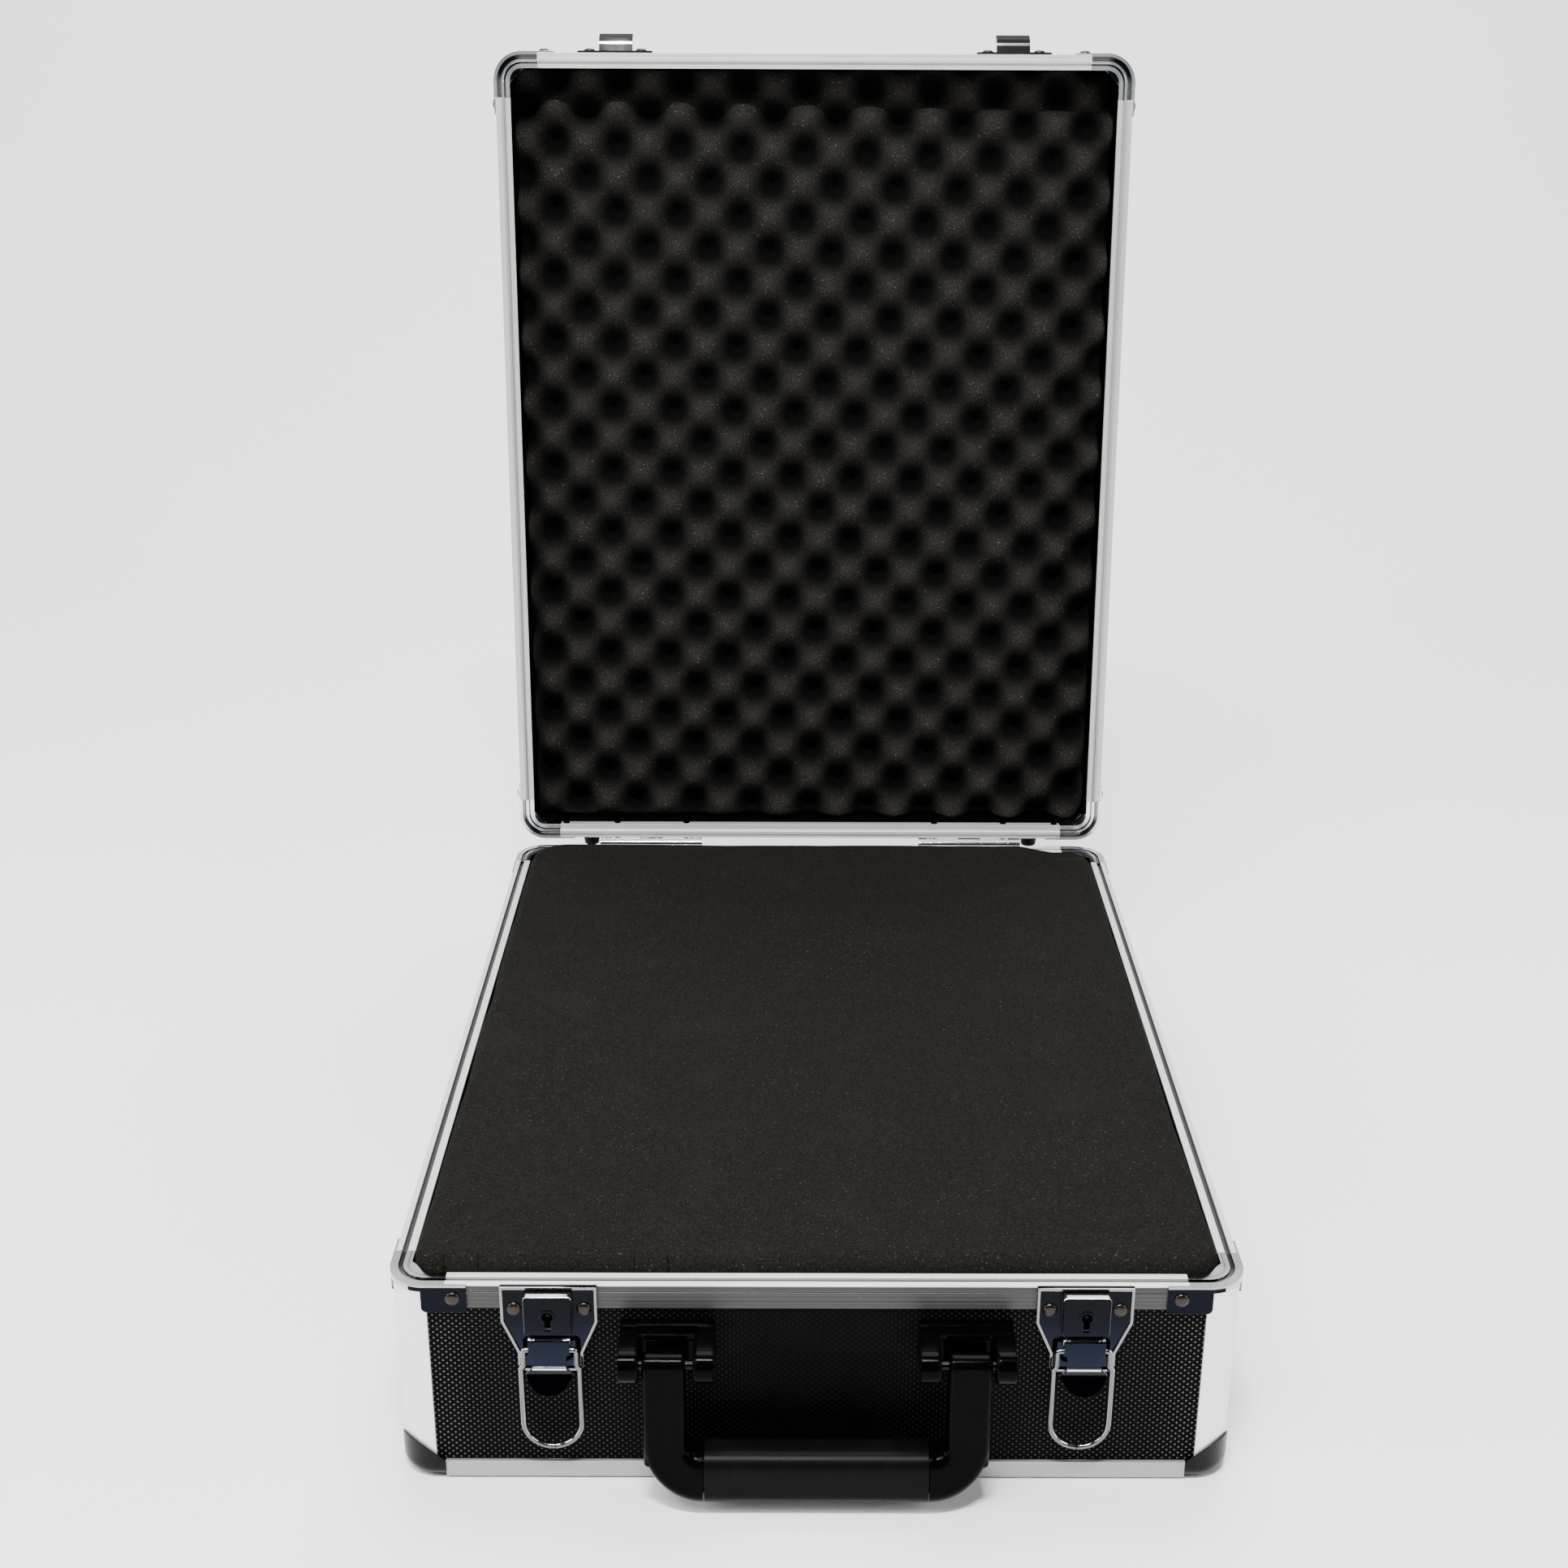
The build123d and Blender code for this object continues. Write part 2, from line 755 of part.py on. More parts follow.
def plate_outline(place):
    """Outline of a latch plate: straight sides, then a taper to a narrower foot."""
    with BuildSketch(place) as outline:
        Polygon(
            (-plate_half, -closed_gap),
            (plate_half, -closed_gap),
            (plate_half, -plate_straight),
            (plate_foot_half, -plate_taper_end),
            (plate_foot_half, -plate_length),
            (-plate_foot_half, -plate_length),
            (-plate_foot_half, -plate_taper_end),
            (-plate_half, -plate_straight),
            align=None,
        )
        foot, taper, straight, head = outline.vertices().group_by(Axis.Y)
        fillet(foot, 3.0)
        fillet(taper + straight, 7.0)
        fillet(head, 1.2)
    return outline.sketch


def latch_plate(place):
    """Riveted plate with a raised lock box and two lugs for the lever's pin."""
    box_middle = -(box_top + box_bottom) / 2
    floor = offset(plate_outline(place.offset(plate_sheet)), amount=-1.1, mode=Mode.PRIVATE)
    with BuildPart() as plate:
        extrude(plate_outline(place), amount=plate_sheet + plate_bead)
        extrude(floor, amount=plate_bead + 1, dir=place.z_dir, mode=Mode.SUBTRACT)
        with BuildSketch(place):
            with Locations((0, box_middle)):
                RectangleRounded(2 * box_half, box_bottom - box_top, 1.6)
        extrude(amount=box_front)
        fillet(plate.faces().sort_by(Axis(place.origin, place.z_dir))[-1].edges(), 0.8)
        # The plate and the box are hollow behind, down to the sheet
        with BuildSketch(place.offset(plate_sheet)):
            with Locations((0, box_middle - 0.3)):
                Rectangle(2 * (box_half - box_wall - 0.3), box_bottom - box_top - 2 * box_wall - 0.6)
        extrude(amount=box_front - box_wall - plate_sheet, mode=Mode.SUBTRACT)
        # Keyhole with a raised ring and a centre post
        with BuildSketch(place.offset(box_front - box_wall)):
            with Locations((0, -keyhole_depth)):
                Circle(keyhole_radius + 1.0)
        extrude(amount=box_wall + 0.35)
        with BuildSketch(place.offset(plate_sheet)):
            with Locations((0, -keyhole_depth)):
                Circle(keyhole_radius)
            with Locations((0, -(keyhole_depth + key_slot_end) / 2)):
                Rectangle(key_slot, key_slot_end - keyhole_depth)
        extrude(amount=box_front, mode=Mode.SUBTRACT)
        with BuildSketch(place):
            with Locations((0, -keyhole_depth)):
                Circle(0.8)
        extrude(amount=box_front - 1.0)
        # Slot in the bottom wall for the bolt
        with BuildSketch(place.offset(bolt_out - edge_fit)):
            with Locations((0, -box_bottom)):
                Rectangle(2 * bolt_tongue + 0.6, 4)
        extrude(amount=bolt_sheet + 2 * edge_fit, mode=Mode.SUBTRACT)
        for sign in (-1, 1):
            with BuildSketch(shifted(across(place), 0, 0, sign * 6.3)):
                with Locations((lever_pivot_out / 2, -lever_pivot_depth)):
                    Rectangle(lever_pivot_out, 3.2)
                with Locations((lever_pivot_out, -lever_pivot_depth)):
                    Circle(1.9)
            extrude(amount=0.6, both=True)
        with BuildSketch(shifted(across(place), lever_pivot_out, -lever_pivot_depth)):
            Circle(lever_pin_radius + 0.01)
        extrude(amount=lever_half, both=True, mode=Mode.SUBTRACT)
        with BuildSketch(place):
            with Locations((-latch_rivet_x, -latch_rivet_depth), (latch_rivet_x, -latch_rivet_depth)):
                Circle(rivet_hole)
        extrude(amount=4, both=True, mode=Mode.SUBTRACT)
    return plate


def latch_lever(place):
    """Pull lever: a waisted channel on the pin, with a half-round thumb tab flared outward."""
    top = lever_pivot_depth - 2.2
    cheek_middle = lever_half - lever_cheek / 2
    with BuildPart() as lever:
        with BuildSketch(place.offset(lever_front - lever_sheet)):
            Polygon(
                (-lever_half, -top),
                (lever_half, -top),
                (lever_half, -26.7),
                (lever_waist, -31.0),
                (lever_waist, -tab_start),
                (-lever_waist, -tab_start),
                (-lever_waist, -31.0),
                (-lever_half, -26.7),
                align=None,
            )
        extrude(amount=lever_sheet)
        for sign in (-1, 1):
            with BuildSketch(shifted(across(place), 0, 0, sign * cheek_middle)):
                with Locations((lever_pivot_out, -lever_pivot_depth)):
                    Circle(2.6)
                with Locations((lever_pivot_out + 0.8, -lever_pivot_depth - 2.2)):
                    Rectangle(5.2, 4.4)
                with Locations((bail_pivot_out, -bail_pivot_depth)):
                    Circle(2.2)
                with Locations((lever_front - 1.5, -lever_pivot_depth)):
                    Rectangle(3, 3.6)
            extrude(amount=lever_cheek / 2, both=True)
        tab = Plane(
            place.from_local_coords(Vector(0, -tab_start + 0.4, lever_front - lever_sheet)),
            x_dir=place.x_dir,
            z_dir=place.z_dir * cos(radians(tab_tilt)) + place.y_dir * sin(radians(tab_tilt)),
        )
        with BuildSketch(tab):
            with BuildLine():
                Line((-lever_waist, 0), (lever_waist, 0))
                Line((lever_waist, 0), (tab_half, -2.4))
                ThreePointArc((tab_half, -2.4), (0, -tab_length), (-tab_half, -2.4))
                Line((-tab_half, -2.4), (-lever_waist, 0))
            make_face()
        extrude(amount=lever_sheet)
        # Ridge between the waist and the tab
        with BuildSketch(shifted(across(place), lever_front - 0.5, -tab_start + 0.2)):
            Circle(1.1)
        extrude(amount=lever_waist, both=True)
        for out, depth, radius in (
            (lever_pivot_out, lever_pivot_depth, lever_pin_radius),
            (bail_pivot_out, bail_pivot_depth, bail_wire),
        ):
            with BuildSketch(shifted(across(place), out, -depth)):
                Circle(radius + running_clearance)
            extrude(amount=lever_half + 1, both=True, mode=Mode.SUBTRACT)
    return lever


def latch_bail(place):
    """Wire loop whose bent ends turn in the lever's cheeks."""
    bottom = bail_pivot_depth + bail_reach
    wire_plane = place.offset(bail_pivot_out)
    end = lever_half - lever_cheek
    with BuildPart() as bail:
        with BuildLine(wire_plane):
            FilletPolyline(
                (end, -bail_pivot_depth),
                (bail_neck, -bail_pivot_depth),
                (bail_neck, -bail_pivot_depth - 7.4),
                (bail_half, -bail_pivot_depth - 9.2),
                (bail_half, -bottom + bail_half),
                radius=1.4,
            )
            ThreePointArc(
                (bail_half, -bottom + bail_half), (0, -bottom), (-bail_half, -bottom + bail_half)
            )
            FilletPolyline(
                (-bail_half, -bottom + bail_half),
                (-bail_half, -bail_pivot_depth - 9.2),
                (-bail_neck, -bail_pivot_depth - 7.4),
                (-bail_neck, -bail_pivot_depth),
                (-end, -bail_pivot_depth),
                radius=1.4,
            )
        with BuildSketch(
            Plane(
                wire_plane.from_local_coords(Vector(end, -bail_pivot_depth, 0)),
                x_dir=place.y_dir,
                z_dir=place.x_dir,
            )
        ):
            Circle(bail_wire)
        sweep()
    return bail


def lock_bolt(place):
    """Sliding bolt behind the keyhole, slotted round the post; down, it blocks the lever."""
    top = 4.6
    shoulder = 17.9
    bottom = box_bottom - 0.2
    with BuildPart() as bolt:
        with BuildSketch(place.offset(bolt_out)):
            Polygon(
                (-7.0, -top),
                (7.0, -top),
                (7.0, -shoulder + bolt_travel),
                (bolt_tongue, -shoulder + bolt_travel),
                (bolt_tongue, -bottom),
                (-bolt_tongue, -bottom),
                (-bolt_tongue, -shoulder + bolt_travel),
                (-7.0, -shoulder + bolt_travel),
                align=None,
            )
            with Locations((0, -11.9)):
                RectangleRounded(5.2, 11.4, 1.0, mode=Mode.SUBTRACT)
        extrude(amount=bolt_sheet)
    return bolt


def catch(place):
    """Plate on the lid with a bent hook over which the bail closes."""
    wire_seat = bail_reach - bail_pivot_depth - closed_gap - bail_wire - 0.3
    sheet = catch_sheet
    with BuildPart() as piece:
        with BuildSketch(place) as outline:
            with Locations((0, (0.6 + catch_height) / 2)):
                Rectangle(2 * catch_half, catch_height - 0.6)
            chamfer(outline.vertices().group_by(Axis.Y)[0], 2.0)
            chamfer(outline.vertices().group_by(Axis.Y)[-1], 5.0)
            with Locations((-catch_rivet_x, catch_rivet_depth), (catch_rivet_x, catch_rivet_depth)):
                Circle(rivet_hole, mode=Mode.SUBTRACT)
        extrude(amount=sheet)
        # Shelf and upright lip, carried by a sloping web and a cheek at each end
        with BuildSketch(across(place)):
            Polygon(
                (hook_bend, wire_seat - sheet),
                (hook_out, wire_seat - sheet),
                (hook_out, wire_seat + hook_lip),
                (hook_out - sheet, wire_seat + hook_lip),
                (hook_out - sheet, wire_seat),
                (hook_bend, wire_seat),
                align=None,
            )
        extrude(amount=hook_half, both=True)
        with BuildSketch(across(place)):
            Polygon(
                (0, hook_foot),
                (hook_bend + 1.5, hook_foot + 3.0),
                (hook_out, wire_seat - sheet - 1.2),
                (hook_out, wire_seat - sheet + 0.2),
                (hook_out - sheet, wire_seat - sheet + 0.2),
                (hook_out - sheet, wire_seat - sheet - 0.8),
                (hook_bend + 0.6, hook_foot + 4.1),
                (0, hook_foot + sheet),
                align=None,
            )
        extrude(amount=hook_half - sheet / 2, both=True)
        for sign in (-1, 1):
            with BuildSketch(shifted(across(place), 0, 0, sign * (hook_half - sheet / 2))):
                Polygon(
                    (0, hook_foot),
                    (hook_bend + 1.5, hook_foot + 3.0),
                    (hook_out, wire_seat - sheet - 1.2),
                    (hook_out, wire_seat - 0.4),
                    (hook_bend, wire_seat - 0.4),
                    (hook_bend, hook_shoulder),
                    (0, hook_shoulder),
                    align=None,
                )
            extrude(amount=sheet / 2, both=True)
    return piece


with BuildPart() as latch_pins:
    for sign in (-1, 1):
        place = shifted(face_plane(base, "front"), sign * latch_x, -lever_pivot_depth, lever_pivot_out)
        with BuildSketch(across(place)):
            Circle(lever_pin_radius)
        extrude(amount=lever_half - 0.1, both=True)
save(latch_pins, "latch_pins")

for side, sign in (("left", -1), ("right", 1)):
    place = shifted(face_plane(base, "front"), sign * latch_x, 0)
    save(latch_plate(place), f"latch_plate_{side}")
    save(latch_lever(place), f"latch_lever_{side}")
    save(latch_bail(place), f"latch_bail_{side}")
    save(lock_bolt(place), f"lock_bolt_{side}")
    save(catch(shifted(face_plane(lid, "front"), sign * latch_x, 0)), f"catch_{side}")


# Handle, drawn on the front face of the base

front = face_plane(base, "front")


def bracket_ear(place, sign):
    """Rounded ear on one side of a bracket, with a softened outer edge."""
    width = bracket_half - bracket_slot
    middle = (bracket_top + bracket_bottom) / 2
    with BuildPart() as ear:
        with BuildSketch(shifted(across(place), 0, 0, sign * (bracket_slot + width / 2))):
            with Locations((0.5 - panel_inset, -middle)):
                Rectangle(1, bracket_bottom - bracket_top - 0.6)
            with Locations((handle_pivot_out, -handle_pivot_depth)):
                Circle(ear_radius)
            make_hull()
        extrude(amount=width / 2, both=True)
        outer = ear.faces().sort_by(Axis(place.origin, place.x_dir * sign))[-1]
        fillet(outer.edges().sort_by(Axis(place.origin, place.z_dir))[-3:], 1.6)
    return ear


def bracket(centre):
    """Moulded bracket with two rounded ears and a bridge above the slot between them."""
    place = shifted(front, centre, 0)
    seat = -panel_inset
    with BuildPart() as piece:
        with BuildSketch(place.offset(seat)):
            with Locations((0, -(bracket_top + bracket_bottom) / 2)):
                RectangleRounded(2 * bracket_half, bracket_bottom - bracket_top, 1.5)
        extrude(amount=bracket_plate - seat)
        for sign in (-1, 1):
            add(bracket_ear(place, sign).part)
        with BuildSketch(across(place)):
            with Locations(((seat + bridge_out) / 2, -bracket_top - bridge_drop / 2 - 0.3)):
                Rectangle(bridge_out - seat, bridge_drop)
        extrude(amount=bracket_slot + 1, both=True)
        with BuildSketch(shifted(across(place), handle_pivot_out, -handle_pivot_depth)):
            Circle(handle_pin_radius + 0.01)
        extrude(amount=bracket_half - 1.5, both=True, mode=Mode.SUBTRACT)
        with BuildSketch(place.offset(seat)):
            with Locations(
                (-handle_screw_x, -handle_pivot_depth), (handle_screw_x, -handle_pivot_depth)
            ):
                Circle(handle_screw_radius + 0.05)
        extrude(amount=3.2, mode=Mode.SUBTRACT)
    return piece


def handle_section(angle, width, thickness, radius):
    """Section of the handle frame where its path has turned by an angle into the grip."""
    bend_x = arm_x - corner_sweep
    bend_y = -handle_pivot_depth - grip_drop + corner_sweep
    c, s = cos(radians(angle)), sin(radians(angle))
    plane = Plane(
        front.from_local_coords(
            Vector(bend_x + corner_sweep * c, bend_y - corner_sweep * s, handle_pivot_out)
        ),
        x_dir=front.x_dir * c - front.y_dir * s,
        z_dir=(front.x_dir * c - front.y_dir * s).cross(front.z_dir),
    )
    with BuildSketch(plane) as section:
        RectangleRounded(width, thickness, radius)
    return section.sketch


with BuildPart() as handle_frame:
    arm_top = shifted(front, arm_x, -handle_pivot_depth, handle_pivot_out)
    with BuildSketch(across(arm_top)):
        Circle(arm_thickness / 2)
    extrude(amount=arm_width / 2, both=True)
    fillet(handle_frame.edges().filter_by(GeomType.CIRCLE), 1.8)
    with BuildSketch(Plane(arm_top.origin, x_dir=front.x_dir, z_dir=front.y_dir * -1)) as arm_start:
        RectangleRounded(arm_width, arm_thickness, 2.5)
    loft([arm_start.sketch, handle_section(0, arm_width, arm_thickness + 1.5, 3.0)])
    loft(
        [
            handle_section(0, arm_width, arm_thickness + 1.5, 3.0),
            handle_section(30, 19.5, 14.0, 4.5),
            handle_section(60, 22.8, 16.8, 6.2),
            handle_section(90, grip_height, grip_thickness, grip_round),
        ]
    )
    grip_start = shifted(front, arm_x - corner_sweep, -handle_pivot_depth - grip_drop, handle_pivot_out)
    with BuildSketch(across(grip_start)):
        RectangleRounded(core_thickness, core_height, 4.0)
    extrude(amount=arm_x - corner_sweep)
    with BuildSketch(across(arm_top)):
        Circle(handle_pin_radius + running_clearance)
    extrude(amount=arm_width, both=True, mode=Mode.SUBTRACT)
    mirror(about=Plane.YZ)
save(handle_frame, "handle_frame")

with BuildPart() as handle_grip:
    with BuildSketch(across(shifted(grip_start, -arm_x + corner_sweep, 0))):
        RectangleRounded(grip_thickness, grip_height, grip_round)
        RectangleRounded(core_thickness, core_height, 4.0, mode=Mode.SUBTRACT)
    extrude(amount=grip_half, both=True)
save(handle_grip, "handle_grip")

with BuildPart() as handle_screws:
    for centre in (-bracket_x, bracket_x):
        for step in (-handle_screw_x, handle_screw_x):
            place = shifted(front, centre + step, -handle_pivot_depth, -panel_inner)
            with BuildSketch(place):
                Circle(handle_screw_radius)
            extrude(amount=panel_thickness + 3.0)
            with BuildSketch(place):
                Circle(3.4)
            extrude(amount=-1.8)
save(handle_screws, "handle_screws")

for side, sign in (("left", -1), ("right", 1)):
    save(bracket(sign * bracket_x), f"handle_bracket_{side}")
    with BuildPart() as pin:
        with BuildSketch(
            across(shifted(front, sign * bracket_x, -handle_pivot_depth, handle_pivot_out))
        ):
            Circle(handle_pin_radius)
        extrude(amount=bracket_half - 1.6, both=True)
    save(pin, f"handle_pin_{side}")
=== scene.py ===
"""Finishes, foam and fasteners of a mixer case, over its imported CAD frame."""

import math

import bmesh
import bpy
from mathutils import Matrix, Vector, noise


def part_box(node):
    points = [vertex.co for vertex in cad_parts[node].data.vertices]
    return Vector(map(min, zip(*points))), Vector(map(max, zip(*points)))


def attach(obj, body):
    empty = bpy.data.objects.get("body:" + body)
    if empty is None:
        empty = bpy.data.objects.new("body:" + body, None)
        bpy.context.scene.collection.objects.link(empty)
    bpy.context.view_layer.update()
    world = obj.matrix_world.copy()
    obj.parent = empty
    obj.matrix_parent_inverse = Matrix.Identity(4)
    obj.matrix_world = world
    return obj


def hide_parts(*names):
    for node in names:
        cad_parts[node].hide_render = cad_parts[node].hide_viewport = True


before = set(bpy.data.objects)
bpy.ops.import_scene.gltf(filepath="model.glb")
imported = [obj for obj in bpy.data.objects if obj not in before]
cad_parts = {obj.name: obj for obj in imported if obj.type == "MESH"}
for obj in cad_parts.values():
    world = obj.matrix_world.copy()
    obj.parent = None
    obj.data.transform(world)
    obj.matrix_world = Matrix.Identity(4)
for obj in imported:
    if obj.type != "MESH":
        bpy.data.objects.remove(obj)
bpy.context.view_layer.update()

bl_info = {
    "name": "Mixer Case",
    "version": (1, 0, 0),
    "blender": (4, 5, 0),
    "location": "View3D > Sidebar > Mixer Case",
    "description": "Dresses the CAD model of a foam-lined mixer case: finishes, foam and rivets",
    "category": "Object",
}

MM = 0.001
LID_ANGLE = math.radians(95.0)
HINGE_AXIS = Vector((0.0, 0.2286, 0.098))
CLOSED_GAP = 0.0003
CASE_WIDTH = 0.350
CASE_DEPTH = 0.450
BASE_HEIGHT = 0.098
LID_HEIGHT = 0.052

# The lid's directions as it stands open: towards its free edge, and from its mouth to its top panel
LID_ALONG = Vector((0.0, -math.cos(LID_ANGLE), math.sin(LID_ANGLE)))
LID_DEEP = Vector((0.0, math.sin(LID_ANGLE), math.cos(LID_ANGLE)))
AXIS_X = Vector((1.0, 0.0, 0.0))
AXIS_Y = Vector((0.0, 1.0, 0.0))
AXIS_Z = Vector((0.0, 0.0, 1.0))

# Places for the finishes, in mm: the front face, how far aside the latches are, the planes of both
# mouths, the open lid's middle, and where the rounded corners of the outline begin
FRONT = CASE_DEPTH / 2 / MM
LATCH_ASIDE = 109.3
BASE_MOUTH = BASE_HEIGHT / MM
LID_MOUTH = HINGE_AXIS.dot(LID_DEEP) / MM
LID_MIDDLE = (HINGE_AXIS.dot(LID_ALONG) + HINGE_AXIS.y) / MM
CORNER_RADIUS = 15.0
CORE_X = CASE_WIDTH / 2 / MM - CORNER_RADIUS
CORE_Y = FRONT - CORNER_RADIUS


def axes_at(place, across, up, out):
    """Matrix that puts x, y and z along three directions from a place."""
    return Matrix.Translation(place) @ Matrix((across, up, out)).transposed().to_4x4()


def lid_frame():
    """Matrix that sets the lid's foam, made lying with its peaks up, into the open lid."""
    middle = HINGE_AXIS + LID_ALONG * HINGE_AXIS.y + LID_DEEP * CLOSED_GAP
    return axes_at(middle, AXIS_X, LID_ALONG, -LID_DEEP)


class Value:
    """A number socket of a node tree, on which Python arithmetic adds Math nodes."""

    def __init__(self, graph, socket):
        self.graph = graph
        self.socket = socket

    def _maths(self, operation, *operands):
        inputs = dict(enumerate(operands))
        node = self.graph.node("ShaderNodeMath", inputs, operation=operation)
        return Value(self.graph, node.outputs[0])

    def __add__(self, other):
        return self._maths("ADD", self, other)

    def __radd__(self, other):
        return self._maths("ADD", other, self)

    def __sub__(self, other):
        return self._maths("SUBTRACT", self, other)

    def __rsub__(self, other):
        return self._maths("SUBTRACT", other, self)

    def __mul__(self, other):
        return self._maths("MULTIPLY", self, other)

    def __truediv__(self, other):
        return self._maths("DIVIDE", self, other)

    def __pow__(self, other):
        return self._maths("POWER", self, other)

    def __mod__(self, other):
        return self._maths("FLOORED_MODULO", self, other)

    def floor(self):
        return self._maths("FLOOR", self)

    def fraction(self):
        return self._maths("FRACT", self)

    def magnitude(self):
        return self._maths("ABSOLUTE", self)

    def root(self):
        return self._maths("SQRT", self)

    def cosine(self):
        return self._maths("COSINE", self)

    def at_least(self, other):
        return self._maths("MAXIMUM", self, other)

    def at_most(self, other):
        return self._maths("MINIMUM", self, other)

    def rise(self, low, high):
        """0 below low, 1 above high, smooth between; falls where low is above high."""
        given = {"Value": self, "From Min": low, "From Max": high}
        node = self.graph.node("ShaderNodeMapRange", given, interpolation_type="SMOOTHSTEP")
        return Value(self.graph, node.outputs[0])

    def near(self, place, far, close):
        """1 within close of a place, 0 beyond far, smooth between."""
        return (self - place).magnitude().rise(far, close)


class Graph:
    """A node tree with one way to add a node: its type, its sockets, then its settings."""

    def __init__(self, tree):
        self.tree = tree

    def node(self, kind, inputs=None, **settings):
        node = self.tree.nodes.new(kind)
        for name, setting in settings.items():
            setattr(node, name, setting)
        for key, given in (inputs or {}).items():
            socket = node.inputs[key]
            if isinstance(given, Value):
                self.tree.links.new(given.socket, socket)
            elif isinstance(given, bpy.types.NodeSocket):
                self.tree.links.new(given, socket)
            else:
                socket.default_value = given
        return node

    def value(self, socket):
        return Value(self, socket)


class Finish(Graph):
    """A procedural material on Object coordinates, with helpers for what its patterns share."""

    def __init__(self, name, **fixed):
        self.material = bpy.data.materials.new(name)
        self.material.use_nodes = True
        super().__init__(self.material.node_tree)
        self.shader = self.tree.nodes["Principled BSDF"]
        self.position = self.node("ShaderNodeTexCoord").outputs["Object"]
        for key, given in fixed.items():
            self.shader.inputs[key.replace("_", " ")].default_value = given

    def along(self, direction):
        """Distance in millimetres along a direction, as a value."""
        given = {0: self.position, 1: direction.normalized() / MM}
        node = self.node("ShaderNodeVectorMath", given, operation="DOT_PRODUCT")
        return self.value(node.outputs["Value"])

    def texture(self, kind, per_mm, **inputs):
        """Texture node on the position in millimetres."""
        given = {0: self.position, 1: Vector((1, 1, 1)) / MM}
        moved = self.node("ShaderNodeVectorMath", given, operation="MULTIPLY")
        return self.node(kind, {"Vector": moved.outputs["Vector"], "Scale": per_mm, **inputs})

    def noise(self, per_mm, detail):
        """Smooth noise from about 0.2 to 0.8."""
        return self.value(self.texture("ShaderNodeTexNoise", per_mm, Detail=detail).outputs["Fac"])

    def cells(self, per_mm):
        """Distance to the nearest of many scattered points."""
        return self.value(self.texture("ShaderNodeTexVoronoi", per_mm).outputs["Distance"])

    def brushed(self, direction):
        """Noise drawn out along a direction, for the fine lines of an extrusion."""
        long_scale, fine_scale = 0.01, 3.0
        other = direction.orthogonal().normalized()
        given = {
            "X": self.along(direction) * long_scale,
            "Y": self.along(other) * fine_scale,
            "Z": self.along(direction.cross(other)) * fine_scale,
        }
        moved = self.node("ShaderNodeCombineXYZ", given)
        given = {"Vector": moved.outputs[0], "Scale": 1.0, "Detail": 2.0}
        return self.value(self.node("ShaderNodeTexNoise", given).outputs["Fac"])

    def outline(self, body):
        """Distances in mm: aside and ahead of a shell's middle, and inwards from its outline."""
        along, middle = (LID_ALONG, LID_MIDDLE) if body == "lid" else (AXIS_Y, 0.0)
        aside = self.along(AXIS_X).magnitude()
        ahead = (self.along(along) - middle).magnitude()
        over_x, over_y = (aside - CORE_X).at_least(0.0), (ahead - CORE_Y).at_least(0.0)
        return aside, ahead, CORNER_RADIUS - (over_x * over_x + over_y * over_y).root()

    def inset(self, body):
        """Distance in mm inwards from a shell's outline."""
        return self.outline(body)[2]

    def blend(self, factor, first, second):
        """Colour between two colours, or colour sockets, by a value."""
        given = {"Factor": factor, 6: colour(first), 7: colour(second)}
        return self.node("ShaderNodeMix", given, data_type="RGBA").outputs[2]

    def feed(self, **varying):
        """Links values or sockets to the shader's varying inputs."""
        for key, given in varying.items():
            socket = given.socket if isinstance(given, Value) else given
            self.tree.links.new(socket, self.shader.inputs[key.replace("_", " ")])

    def bump(self, height, distance_mm, edge_mm=0.0):
        """Relief from a height value; edge_mm also rounds the shading over sharp edges."""
        given = {"Strength": 1.0, "Distance": distance_mm * MM, "Height": height}
        if edge_mm:
            rounded = self.node("ShaderNodeBevel", {"Radius": edge_mm * MM}, samples=4)
            given["Normal"] = rounded.outputs["Normal"]
        self.feed(Normal=self.node("ShaderNodeBump", given).outputs["Normal"])


def colour(given):
    """A colour as Blender's four numbers; sockets pass through."""
    if isinstance(given, (bpy.types.NodeSocket, Value)):
        return given
    return (*given, 1.0) if len(given) == 3 else tuple(given)


def shade(level):
    """Neutral grey from a level of 0 to 1 in linear light."""
    return (level, level, level)


def scaled(tint, level):
    """A colour made lighter or darker."""
    return tuple(part * level for part in tint)


# Finishes


